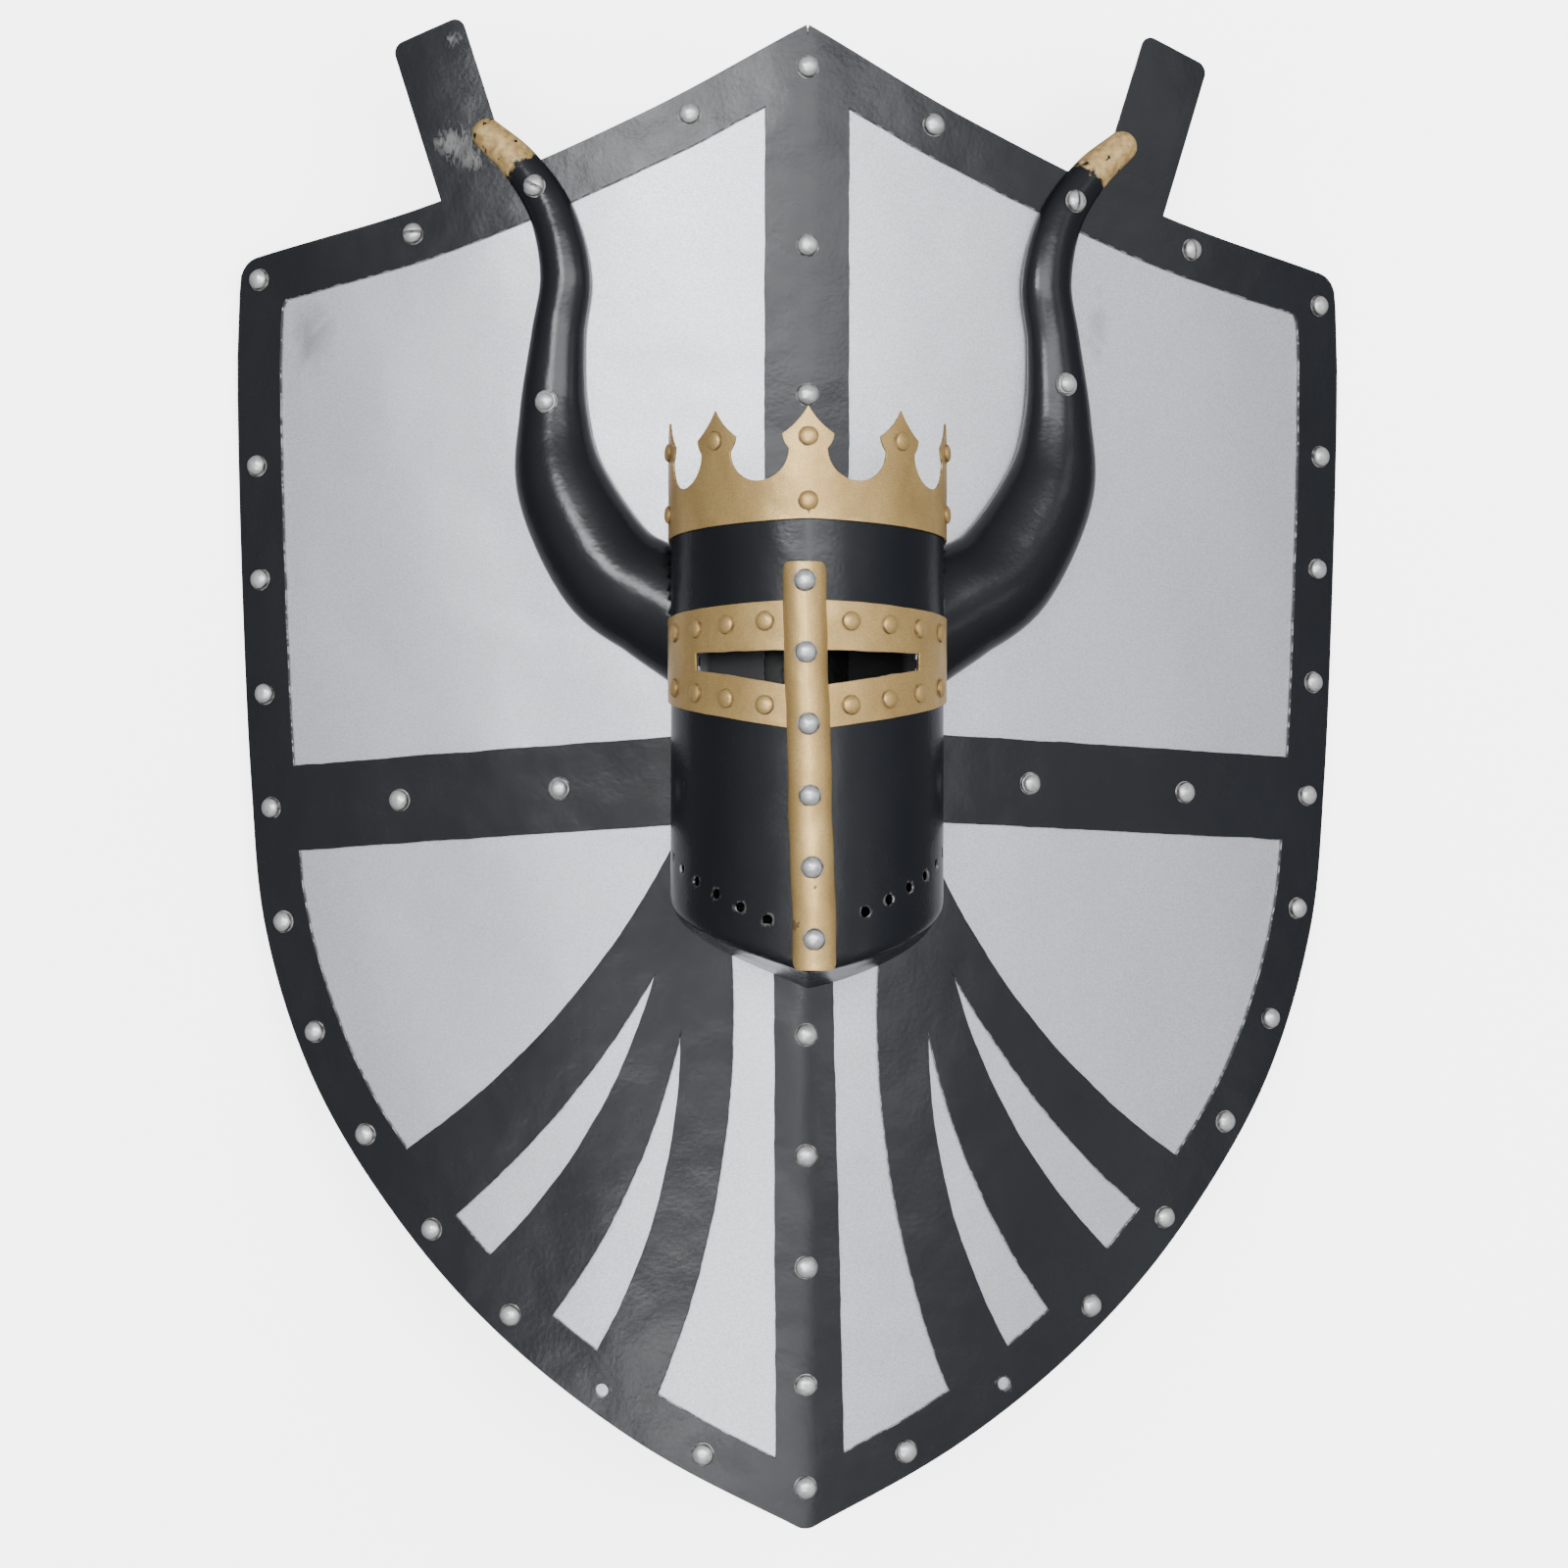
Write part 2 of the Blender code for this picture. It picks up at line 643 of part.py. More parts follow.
def build_sheets(parts, cutters):
    spots, empty = shield_rivet_spots()
    through = list(spots.values())
    for side in SIDES:
        through += [(along, height) for along, height, lift in horn_rivet_spots(side)]
    shank = hole_radius(SHANK_DIAMETER)
    low, high = -FAR / 10, FAR / 10
    pins = pegs("rivet_holes", upright(through), shank, low, high, HOLE_SIDES, cutters)
    radius = EMPTY_HOLE_DIAMETER / 2
    bare = pegs("empty_holes", upright(empty), radius, low, high, EMPTY_HOLE_SIDES, cutters)

    frame = plate("front_frame", [frame_outline(tabs=True)], -FRAME_SHEET, 0, parts)
    for cutter in (window_cutter(cutters), slot_cutter(cutters), pins, bare):
        combine(frame, cutter, "DIFFERENCE")
    dressed(rolled(baked(frame), SHIELD), "black_paint", parts)

    top = -FRAME_SHEET - GAP
    back = plate("back_sheet", [inner_outline(BACK_INSET)], top - BACK_SHEET, top, parts)
    corner = plate("back_corners", [frame_outline(tabs=False)], low, high, cutters)
    combine(back, corner, "INTERSECT")
    combine(back, pins, "DIFFERENCE")
    dressed(rolled(baked(back), SHIELD), "silver_paint", parts)

    stack = FRAME_SHEET + GAP + BACK_SHEET
    length = GAP + stack + TAIL_PROUD
    for name, (along, height) in spots.items():
        seat = SHIELD.seat(along, height, GAP)
        rivet(name, seat, HEAD_DIAMETER, HEAD_HEIGHT, SHANK_DIAMETER, length, parts)


def sheet_envelope(group):
    """All that lies behind the gap on the frame's front face, to trim what stands on the shield."""
    edge = [SHIELD.place(fold, GAP) for fold in SHIELD.folds]
    outline = [*edge, (edge[-1][0], -FAR), (edge[0][0], -FAR)]
    body = plate("sheet_envelope", [outline], -FAR, FAR, group)
    body.matrix_world = Matrix.Rotation(math.pi / 2, 4, "X")
    return body


def helm_envelope(group):
    """The space that the helm and its bands take, seen from above, to trim the horns against it."""
    edge = [HELM.place(fold, GAP) for fold in HELM.folds]
    body = plate("helm_envelope", [edge], -FAR, FAR, group)
    body.matrix_world = HELM_FRAME @ Matrix.Rotation(math.pi / 2, 4, "X")
    return body


def chin_line(along, middle, side):
    """Height of a chin edge at a distance along the helm sheet, between its middle and side heights."""
    quarter = HELM_RADIUS * math.pi / 2
    power = CHIN_ROUND["left" if along < 0 else "right"]
    return middle + (side - middle) * min(1.0, abs(along) / quarter) ** power


def helm_surface():
    """The helm's outer face, open: the wall, its sides and the chin folded back under it."""
    shape = bmesh.new()
    folds = HELM.folds
    rows = []
    for fold in folds:
        x, z = HELM.place(fold, 0)
        foot = chin_line(fold, CHIN_FRONT, CHIN_FRONT_SIDE)
        if fold in (folds[0], folds[-1]):
            foot = chin_line(fold, CHIN_BACK, CHIN_BACK_SIDE)
        rows.append((shape.verts.new((x, HELM_TOP, z)), shape.verts.new((x, foot, z))))
    chin = [rows[0][1]]
    for fold in folds[2:-2]:
        x = HELM.place(fold, 0)[0]
        chin.append(shape.verts.new((x, chin_line(fold, CHIN_BACK, CHIN_BACK_SIDE), -HELM_REACH)))
    chin.append(rows[-1][1])
    for (top_a, foot_a), (top_b, foot_b) in zip(rows, rows[1:]):
        shape.faces.new((top_a, foot_a, foot_b, top_b))
    front = [foot for top, foot in rows[1:-1]]
    for a, b, c, d in zip(front, front[1:], chin[1:], chin):
        shape.faces.new((a, d, c, b))
    mesh = bpy.data.meshes.new("helm")
    shape.to_mesh(mesh)
    shape.free()
    return mesh


def slit_outlines():
    """The two eye slits on the flat helm sheet."""
    share = SLIT_START / SLIT_END
    start_foot = SLIT_FOOT + share * (SLIT_FOOT_END - SLIT_FOOT)
    right = [(SLIT_START, SLIT_TOP), (SLIT_START, start_foot)]
    right += [(SLIT_END, SLIT_FOOT_END), (SLIT_END, SLIT_TOP)]
    return [right, [(-x, y) for x, y in reversed(right)]]


def air_hole_spots():
    """Spots of the air holes on the helm sheet, on a slanting line down to the middle on each side."""
    foot, slope = AIR_HOLE_LINE
    spots = []
    for side, sign in SIDES.items():
        for number in range(AIR_HOLES):
            along = AIR_HOLE_START[side] + number * AIR_HOLE_PITCH[side]
            spots.append((sign * along, foot + along * slope))
    return spots


def nose_rivet_spots():
    """(x, y) of the rivets down the leaning nose bar, in the helm's frame."""
    middle = (NOSE_TOP + NOSE_FOOT) / 2
    heights = [NOSE_RIVET_TOP - k * NOSE_RIVET_PITCH for k in range(NOSE_RIVETS)]
    return [(NOSE_SHIFT - (height - middle) * math.tan(NOSE_LEAN), height) for height in heights]


def build_helm(parts, cutters):
    helm = add_object("helm", helm_surface(), parts, HELM_FRAME)
    shell = helm.modifiers.new("Wall", "SOLIDIFY")
    shell.thickness = HELM_SHEET
    shell.offset = -1
    shell.use_even_offset = True
    baked(helm)
    depth = 4 * HELM_SHEET
    slits = rolled(plate("helm_slits", slit_outlines(), -depth, depth, cutters), HELM)
    seats = [HELM.seat(along, height, 0) for along, height in air_hole_spots()]
    air = pegs("air_holes", seats, AIR_HOLE_DIAMETER / 2, -depth, depth, AIR_HOLE_SIDES, cutters)
    shank = hole_radius(NOSE_SHANK_DIAMETER)
    pins = pegs("nose_pins", upright(nose_rivet_spots()), shank, HELM_CENTRE, FAR, HOLE_SIDES, cutters)
    for cutter in (slits, air, pins):
        cutter.matrix_world = HELM_FRAME
        combine(helm, cutter, "DIFFERENCE")
    combine(helm, sheet_envelope(cutters), "DIFFERENCE")
    dressed(baked(helm), "black_paint", parts)


def gold_heads(name, spots, group):
    """Rivet heads, in one object, that stand on a band round the helm."""
    seats = [HELM.seat(along, height, GAP + BAND_SHEET) for along, height in spots]
    rim, sunk = GOLD_HEAD_DIAMETER / 2, BAND_SHEET / 2
    return pegs(name, seats, rim, -sunk, GOLD_HEAD_HEIGHT, GOLD_HEAD_SIDES, group, GOLD_HEAD_TAPER)


def band_line(along, middle, end, reach):
    """Height of a band's edge that runs straight on the flat sheet from its middle to its end."""
    return middle + (end - middle) * abs(along) / reach


def build_visor(parts, cutters):
    reach = HELM_RADIUS * math.pi / 2
    outline = [(-reach, VISOR_TOP_END), (0, VISOR_TOP), (reach, VISOR_TOP_END)]
    outline += [(reach, VISOR_FOOT_END), (0, VISOR_FOOT), (-reach, VISOR_FOOT_END)]
    band = plate("visor_band", [outline], GAP, GAP + BAND_SHEET, parts)
    combine(band, plate("visor_slits", slit_outlines(), -FAR, FAR, cutters), "DIFFERENCE")
    rolled(baked(band), HELM)
    spots = []
    for angle in VISOR_RIVETS:
        along = HELM_RADIUS * math.radians(angle)
        upper = band_line(along, VISOR_TOP, VISOR_TOP_END, reach) - VISOR_INSET
        lower = band_line(along, VISOR_FOOT, VISOR_FOOT_END, reach) + VISOR_INSET
        spots += [(sign * along, height) for sign in SIDES.values() for height in (upper, lower)]
    combine(band, gold_heads("visor_heads", spots, cutters), "UNION")
    baked(band).matrix_world = HELM_FRAME
    combine(band, bpy.data.objects["nose_pins"], "DIFFERENCE")
    dressed(baked(band), "gold_paint", parts)


def crown_point(middle):
    """One point of the crown on the flat strip, from its left neck over the tip to its right neck."""
    barb, neck = CROWN_BARB, CROWN_NECK
    flank = bowed((0, CROWN_TIP), barb, 0.0011)[:: BOW_STEPS // 2]
    right = [*flank, neck]
    left = [(-x, y) for x, y in reversed(right[1:])]
    return [(middle + x, y) for x, y in [*left, *right]]


def scallop(middle, radius):
    """The round dip between two points, without its ends."""
    angles = np.linspace(math.pi, 2 * math.pi, 7)[1:-1]
    depth = CROWN_NECK[1] - CROWN_BAND_TOP
    return [(middle + radius * math.cos(a), CROWN_NECK[1] + depth * math.sin(a)) for a in angles]


def build_crown(parts, cutters):
    pitch = HELM_RADIUS * CROWN_PITCH
    radius = pitch / 2 - CROWN_NECK[0]
    end = (CROWN_POINTS + 0.5) * pitch
    top = [(-end, CROWN_BAND_TOP)]
    for number in range(-CROWN_POINTS, CROWN_POINTS + 1):
        if number == -CROWN_POINTS:
            top += [point for point in scallop((number - 0.5) * pitch, radius) if point[0] > -end + WELD]
        top += crown_point(number * pitch)
        dip = scallop((number + 0.5) * pitch, radius)
        top += [point for point in dip if point[0] < end - WELD]
    foot = [(end, CROWN_FOOT_END), (0, CROWN_FOOT), (-end, CROWN_FOOT_END)]
    outline = [*top, (end, CROWN_BAND_TOP), *foot]
    crown = rolled(plate("crown", [outline], GAP, GAP + BAND_SHEET, parts), HELM)
    spots = [(number * pitch, CROWN_UPPER_RIVET) for number in range(-CROWN_POINTS, CROWN_POINTS + 1)]
    spots += [(number * pitch, CROWN_LOWER_RIVET) for number in (-CROWN_POINTS, 0, CROWN_POINTS)]
    combine(crown, gold_heads("crown_heads", spots, cutters), "UNION")
    dressed(baked(crown), "gold_paint", parts).matrix_world = HELM_FRAME


def build_nose_bar(parts, cutters):
    """The half-round bar down the front: a pressed trough that leans a little on the visor band."""
    middle, half = (NOSE_TOP + NOSE_FOOT) / 2, NOSE_WIDTH / 2
    lean = (VISOR_TOP - middle) * math.tan(NOSE_LEAN) - NOSE_SHIFT
    seat = HELM.place(half - NOSE_WALL - lean, 2 * GAP + BAND_SHEET)[1]
    angles = np.linspace(0, math.pi, NOSE_SPANS + 1)
    outer = [(half * math.cos(a), NOSE_HEIGHT * math.sin(a)) for a in angles]
    narrow, low = (half - NOSE_WALL) / half, (NOSE_HEIGHT - NOSE_WALL) / NOSE_HEIGHT
    inner = [(x * narrow, z * low) for x, z in reversed(outer)]
    length = NOSE_TOP - NOSE_FOOT
    bar = plate("nose_bar", [[*outer, *inner]], -length / 2, length / 2, parts)
    bar.matrix_world = Matrix.Rotation(math.pi / 2, 4, "X")
    corners = [(half, length / 2), (half, -length / 2), (-half, -length / 2), (-half, length / 2)]
    limit = []
    for before, corner, after in zip([corners[-1], *corners], corners, [*corners[1:], corners[0]]):
        limit += rounded((before, corner, after), NOSE_CORNER)
    combine(bar, plate("nose_limit", [limit], -FAR, FAR, cutters), "INTERSECT")
    baked(bar)
    bar.data.transform(bar.matrix_world)
    place = Matrix.Translation((NOSE_SHIFT, middle, seat)) @ Matrix.Rotation(NOSE_LEAN, 4, "Z")
    bar.data.transform(place)
    bar.matrix_world = HELM_FRAME
    combine(bar, bpy.data.objects["nose_pins"], "DIFFERENCE")
    dressed(baked(bar), "gold_paint", parts)
    crest = seat + NOSE_HEIGHT
    depth = crest - (HELM_CENTRE + HELM_RADIUS + HELM_CREASE - HELM_SHEET) + GAP + TAIL_PROUD
    for number, (x, y) in enumerate(nose_rivet_spots(), 1):
        place = HELM_FRAME @ Matrix.Translation((x, y, crest + GAP))
        name = f"nose_rivet_{number}"
        rivet(name, place, NOSE_HEAD_DIAMETER, NOSE_HEAD_HEIGHT, NOSE_SHANK_DIAMETER, depth, parts)


def horn_surface(side):
    """A horn's outer face: half-oval arches along its middle line, the last folded down at the tip."""
    line = smooth_line(HORN_LINE, HORN_STEPS)
    sign = SIDES[side]
    shape = bmesh.new()
    rows = []
    for k, (x, y, half) in enumerate(line):
        before, after = line[max(k - 1, 0)], line[min(k + 1, len(line) - 1)]
        way = (after - before)[:2] / np.linalg.norm((after - before)[:2])
        across = np.array((way[1], -way[0]))
        ends = [(0.0, 1.0)] if k < len(line) - 1 else [(0.0, 1.0), (1.0, 0.0)]
        for ahead, arch in ends:
            row = []
            for a in np.linspace(-math.pi / 2, math.pi / 2, HORN_SPANS + 1):
                spot = np.array((x, y)) + across * half * math.sin(a) + way * half * ahead * math.cos(a)
                lift = horn_rise(half) * math.cos(a) * arch - HORN_RIM * (1 - math.cos(a) * arch)
                px, pz = SHIELD.place(along_at(sign * spot[0]), lift)
                row.append(shape.verts.new((px, spot[1], pz)))
            rows.append(row)
    for row, following in zip(rows, rows[1:]):
        for a, b, c, d in zip(row, row[1:], following[1:], following):
            shape.faces.new((a, b, c, d) if sign > 0 else (d, c, b, a))
    bmesh.ops.remove_doubles(shape, verts=shape.verts, dist=WELD)
    mesh = bpy.data.meshes.new(f"horn_{side}")
    shape.to_mesh(mesh)
    shape.free()
    return mesh


def build_horns(parts, cutters):
    behind, beside = sheet_envelope(cutters), helm_envelope(cutters)
    shank = hole_radius(SHANK_DIAMETER)
    through = FRAME_SHEET + GAP + BACK_SHEET + TAIL_PROUD
    for side in SIDES:
        name = f"horn_{side}"
        horn = add_object(name, horn_surface(side), parts)
        shell = horn.modifiers.new("Wall", "SOLIDIFY")
        shell.thickness = HORN_SHEET
        shell.offset = -1
        for number, (along, height, lift) in enumerate(horn_rivet_spots(side), 1):
            seat = SHIELD.seat(along, height, lift + GAP)
            pin = pegs(f"{name}_pin_{number}", [seat], shank, -2 * lift, lift, HOLE_SIDES, cutters)
            combine(horn, pin, "DIFFERENCE")
            length = GAP + lift + through
            rivet(f"rivet_{name}_{number}", seat, HEAD_DIAMETER, HEAD_HEIGHT, SHANK_DIAMETER, length, parts)
        combine(horn, behind, "DIFFERENCE")
        combine(horn, beside, "DIFFERENCE")
        dressed(baked(horn), "black_paint", parts)


def stand_on_floor(parts):
    """Moves everything so that the origin is the middle of the foot of the part's box."""
    bpy.context.view_layer.update()
    graph = bpy.context.evaluated_depsgraph_get()
    corners = []
    for obj in parts.objects:
        seen = obj.evaluated_get(graph)
        corners += [seen.matrix_world @ vert.co for vert in seen.data.vertices]
    corners = np.array(corners)
    low, high = corners.min(axis=0), corners.max(axis=0)
    shift = Matrix.Translation((-(low[0] + high[0]) / 2, -(low[1] + high[1]) / 2, -low[2]))
    for obj in parts.objects:
        obj.matrix_world = shift @ obj.matrix_world


def main():
    clear_scene()
    parts = new_collection("knight_shield", hidden=False)
    cutters = new_collection("cutters", hidden=True)
    build_sheets(parts, cutters)
    build_helm(parts, cutters)
    build_visor(parts, cutters)
    build_crown(parts, cutters)
    build_nose_bar(parts, cutters)
    build_horns(parts, cutters)
    stand_on_floor(parts)


main()
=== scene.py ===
"""Looks of the knight shield: its painted sheets, helm, crown, horns and rivets, as fine pieces.

Lengths are in metres. Each sheet is drawn flat, as (distance along it, height), with its windows and
holes, and then bent over the shield's or the helm's surface. Height 0 lies just above the cross bar.
"""

import math
import random

import bmesh
import bpy
import numpy as np
from mathutils import Euler, Matrix, Vector, noise


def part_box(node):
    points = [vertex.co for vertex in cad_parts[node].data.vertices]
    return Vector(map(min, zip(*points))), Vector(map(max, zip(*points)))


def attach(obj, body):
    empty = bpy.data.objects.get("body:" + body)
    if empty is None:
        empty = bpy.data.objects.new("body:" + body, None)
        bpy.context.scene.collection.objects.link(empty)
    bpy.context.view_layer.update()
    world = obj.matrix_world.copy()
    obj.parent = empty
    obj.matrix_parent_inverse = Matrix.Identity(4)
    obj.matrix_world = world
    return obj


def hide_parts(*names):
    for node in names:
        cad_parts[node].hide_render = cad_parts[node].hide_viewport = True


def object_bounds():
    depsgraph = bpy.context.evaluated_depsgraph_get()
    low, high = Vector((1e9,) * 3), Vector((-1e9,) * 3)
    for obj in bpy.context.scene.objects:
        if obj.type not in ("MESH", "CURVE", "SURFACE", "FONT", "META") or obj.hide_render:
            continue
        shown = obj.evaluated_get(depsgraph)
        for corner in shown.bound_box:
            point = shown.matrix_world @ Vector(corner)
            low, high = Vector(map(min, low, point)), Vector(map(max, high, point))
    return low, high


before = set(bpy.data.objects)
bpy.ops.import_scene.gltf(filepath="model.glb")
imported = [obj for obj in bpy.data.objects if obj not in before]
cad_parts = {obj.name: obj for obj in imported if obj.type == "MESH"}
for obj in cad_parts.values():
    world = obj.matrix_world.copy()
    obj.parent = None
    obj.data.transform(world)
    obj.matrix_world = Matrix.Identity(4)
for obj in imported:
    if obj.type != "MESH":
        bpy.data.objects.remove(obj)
CAD_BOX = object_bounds()

# Unseeded, noise_vector starts from the clock
noise.seed_set(1)

# Sheets
GAP = 0.0003
FRAME_SHEET = 0.0011
BACK_SHEET = 0.0010
HELM_SHEET = 0.0012
BAND_SHEET = 0.0011
HORN_SHEET = 0.0012
EDGE_ROUND = 0.00028

# Cross-section of the bent shield
RIDGE_RADIUS = 0.030
RIDGE_SLOPE = math.radians(7.5)
WING_RADIUS = 0.900
WAVE_HEIGHT = 0.00035

# Outline of the frame on the flat sheet, right half
TOP_EDGE = ((0.0, 0.3596), (0.083, 0.3180), (0.183, 0.2815), (0.2895, 0.2595))
SIDE_EDGE = (
    (0.2895, 0.2595),
    (0.2915, 0.1970),
    (0.2885, 0.0980),
    (0.2830, 0.0),
    (0.2740, -0.0735),
    (0.2467, -0.1460),
    (0.2010, -0.2115),
    (0.1474, -0.2653),
    (0.0790, -0.3135),
    (0.0, -0.3522),
)
CORNER_RADIUS = 0.012
TIP_RADIUS = 0.010
PEAK_NOTCH = (0.0006, 0.0040)
BACK_INSET = 0.0008
TAB_FOOT = {"left": 0.1800, "right": 0.1845}
TAB_WIDTH = 0.0380
TAB_LENGTH = 0.0810
TAB_LEAN = math.radians(18.5)
TAB_CORNER = 0.0055

# Windows
BORDER = 0.0250
BAR_UPPER = 0.0203
BAR_LOWER = {"left": (0.0158, 0.0142), "right": (0.0106, 0.0195)}
CROSS_MIDDLE = 0.0060
CROSS_HEIGHT = 0.0420
CROSS_DROOP = math.radians(3.35)
CROSS_TILT = math.radians(0.6)
RAY_EDGE = {
    "left": ((0.0620, -0.0260), (0.1952, -0.1760), 0.0125),
    "right": ((0.0585, -0.0260), (0.1909, -0.1820), 0.0145),
}
SLOTS = (
    ((0.0725, -0.0910), (0.1690, -0.2060), 0.0066, (0.1527, -0.2254), 0.0105),
    ((0.0600, -0.1195), (0.1220, -0.2537), 0.0080, (0.0993, -0.2680), 0.0098),
)
WIDE_SLOT = ((0.0365, -0.0660), (0.0694, -0.2870), 0.0134)
OVERRUN = 1.25
CUT_STEP = 0.004
CUT_WOBBLE = 0.00028

# Shield rivets
HEAD_RADIUS = 0.0050
HEAD_HEIGHT = 0.0040
HEAD_RIM = 0.0008
# Each head's foot stands on a thin ring that carries painted shade
SHADE_RING_REACH = 1.1
SHADE_RING_HEIGHT = 0.00008
SLOT_HALF = 0.00065
SLOT_SLOPE = 0.00015
SLOT_DEPTH = 0.0011
SHANK_RADIUS = 0.0023
TAIL_RADIUS = 0.0033
TAIL_PROUD = 0.0010
RIVET_INSET = 0.0110
END_RIVET_INSET = 0.0205
EDGE_RIVETS = 11
EDGE_START = 0.0540
EDGE_PITCH = {"left": 0.0566, "right": 0.0576}
CORNER_DROP = {"left": 0.0025, "right": 0.0080}
# The number along the edge, from 0, of the rivet that is missing
EMPTY_HOLE = 1
EMPTY_HOLE_RADIUS = 0.0031
TOP_RIVETS = {"left": (0.0562, 0.1942), "right": (0.0620, 0.2006)}
CENTRE_RIVETS = (0.2547, 0.1840, -0.1183, -0.1752, -0.2279, -0.2835)
CROSS_RIVETS = {"left": (0.1190, 0.2007), "right": (0.1119, 0.1968)}
# Slotted heads, each with its slot's angle in degrees, and heads with a worn step
SLOTTED = {
    "rivet_top_left_2": 4,
    "rivet_top_right_2": 100,
    "rivet_horn_left_2": -28,
    "rivet_horn_right_2": 88,
}
STEPPED = ("rivet_horn_left_1", "rivet_horn_right_1", "rivet_cross_left_1", "rivet_cross_right_1")

# Helm
HELM_TURN = math.radians(4.0)
HELM_RADIUS = 0.0625
QUARTER = HELM_RADIUS * math.pi / 2
HELM_CENTRE = 0.0340
HELM_CREASE = 0.0040
CREASE_ROUND = 0.02
HELM_TOP = 0.1275
HELM_REACH = 0.0220
CHIN_FRONT = (-0.0824, -0.0520)
CHIN_BACK = (-0.0994, -0.0594)
CHIN_ROUND = {"left": 0.95, "right": 1.25}
CHIN_FOLD = 0.0042
AIR_HOLES = 6
AIR_HOLE_RADIUS = 0.0024
AIR_HOLE_START = {"left": 0.0178, "right": 0.0262}
AIR_HOLE_PITCH = {"left": 0.0130, "right": 0.0122}
AIR_HOLE_LINE = (-0.0667, 0.41)

# Visor band
VISOR_TOP = (0.0798, 0.0750)
VISOR_FOOT = (0.0225, 0.0382)
VISOR_INSET = 0.0085
VISOR_RIVETS = (17.0, 34.0, 51.0, 69.0)
SLIT_TOP = 0.0575
SLIT_FOOT = (0.0413, 0.0503)
SLIT_RUN = (0.0070, 0.0555)

# Crown
CROWN_TIP = 0.1637
CROWN_BARB = (0.0112, 0.1515)
CROWN_NECK = (0.0083, 0.1450)
CROWN_BAND_TOP = 0.1315
CROWN_FOOT = (0.1146, 0.1104)
CROWN_PITCH = HELM_RADIUS * math.radians(40.0)
CROWN_POINTS = 2
CROWN_RIVETS = (0.1503, 0.1223)
GOLD_HEAD_RADIUS = 0.0041
GOLD_HEAD_HEIGHT = 0.0022
GOLD_HEAD_RIM = 0.0005

# Nose bar
NOSE_TOP = 0.0955
NOSE_FOOT = -0.0808
NOSE_WIDTH = 0.0190
NOSE_HEIGHT = 0.0068
NOSE_WALL = 0.0012
NOSE_CORNER = 0.0075
NOSE_SHIFT = 0.0006
NOSE_LEAN = math.radians(1.7)
NOSE_RIVETS = 6
NOSE_RIVET_TOP = 0.0873
NOSE_RIVET_PITCH = 0.0309
NOSE_HEAD_RADIUS = 0.0045
NOSE_HEAD_HEIGHT = 0.0036
NOSE_HEAD_RIM = 0.0006

# Horns: middle line seen from the helm's front, with half widths
HORN_LINE = (
    (0.0480, 0.0740, 0.0310),
    (0.0700, 0.0860, 0.0280),
    (0.0945, 0.1030, 0.0260),
    (0.1165, 0.1420, 0.0220),
    (0.1210, 0.1770, 0.0165),
    (0.1190, 0.2140, 0.0130),
    (0.1155, 0.2430, 0.0122),
    (0.1225, 0.2735, 0.0106),
    (0.1375, 0.2970, 0.0090),
    (0.1540, 0.3130, 0.0074),
)
HORN_STEPS = 9
HORN_SPANS = 28
HORN_RISE = 0.80
HORN_RIVETS = {"left": (0.1810, 0.2847), "right": (0.1926, 0.2818)}

SIDES = {"left": -1, "right": 1}
SIDE_REACH = 0.29
SHARP_ANGLE = math.radians(20)

# Worn and scuffed places, and the painted shade inside the helm: middle and reach, across and up on each flat
# sheet
TAB_SCUFFS = (
    (-0.1735, 0.3600, 0.008, 0.008),
    (-0.1735, 0.3100, 0.017, 0.016),
    (-0.1640, 0.2990, 0.012, 0.008),
)
SILVER_SMUDGES = ((-0.2500, 0.2200, 0.022, 0.030), (0.1480, 0.2250, 0.012, 0.030))
# Painted shade on the silver sheet where the helm covers it
HELM_SHADE_PATCH = (0.0, SLIT_TOP, 0.055, 0.060)
VISOR_CHIPS = ((0.052, 0.0300, 0.002, 0.002), (-0.034, 0.070, 0.005, 0.002))
CROWN_CHIPS = ((-0.012, 0.1480, 0.003, 0.003), (0.0, 0.118, 0.003, 0.003))
NOSE_CHIPS = (
    (-0.010, -0.061, 0.009, 0.005),
    (0.001, -0.045, 0.002, 0.003),
    (-0.001, 0.080, 0.001, 0.003),
)
EMPTY_HOLE_WEAR = 0.0072
AIR_HOLE_WEAR = 0.0056

# Bare metal and scuffed paint
STEEL = (0.55, 0.55, 0.56)
SCUFF = (0.11, 0.108, 0.105)

# The camera from the ridge's front: its place, its turns about X, Y and Z, and its lens
CAMERA_PLACE = (-0.0899, -0.0061, 1.2001)
CAMERA_TURN = (0.00505, -0.06587, 0.00149)
LENS_MM = 58.51
SENSOR_MM = 36.0

# The sky's radiance by the way's upward part, from the horizon up
SKY_STOPS = ((0.0, 0.16), (0.26, 0.26), (0.50, 0.40), (0.707, 0.50), (0.84, 0.72), (0.93, 0.95))
SKY_COLOUR = (0.96, 0.98, 1.0, 1)
# The sky's soft panels: middle and reach as slopes from the zenith, and radiance
SKY_PANELS = (
    ((0.08, 0.27), (0.50, 0.16), 6.6),
    ((-0.17, -0.28), (0.40, 0.09), 5.2),
    ((-0.06, 0.00), (0.10, 0.10), 4.0),
    ((0.44, -0.06), (0.08, 0.08), 5.0),
    ((-0.45, 0.30), (0.17, 0.09), 24.0),
    ((-0.42, -0.31), (0.10, 0.05), 20.0),
    ((1.10, 0.42), (0.35, 0.18), 1.6),
    ((1.20, -0.28), (0.28, 0.14), 1.5),
)
FLASH = ((-0.09, 0.03, 1.36), (0.10, 0.10), 1.6)
FILLS = (((-2.2, 0.4, 2.1), (2.4, 2.4), 84), ((2.2, 0.4, 2.1), (2.4, 2.4), 152))
FLOOR_SIZE = 4.0
FLOOR_DROP = 0.0005
FLOOR_COLOUR = (0.95, 0.95, 0.95)
FLOOR_GLOW = 3.0

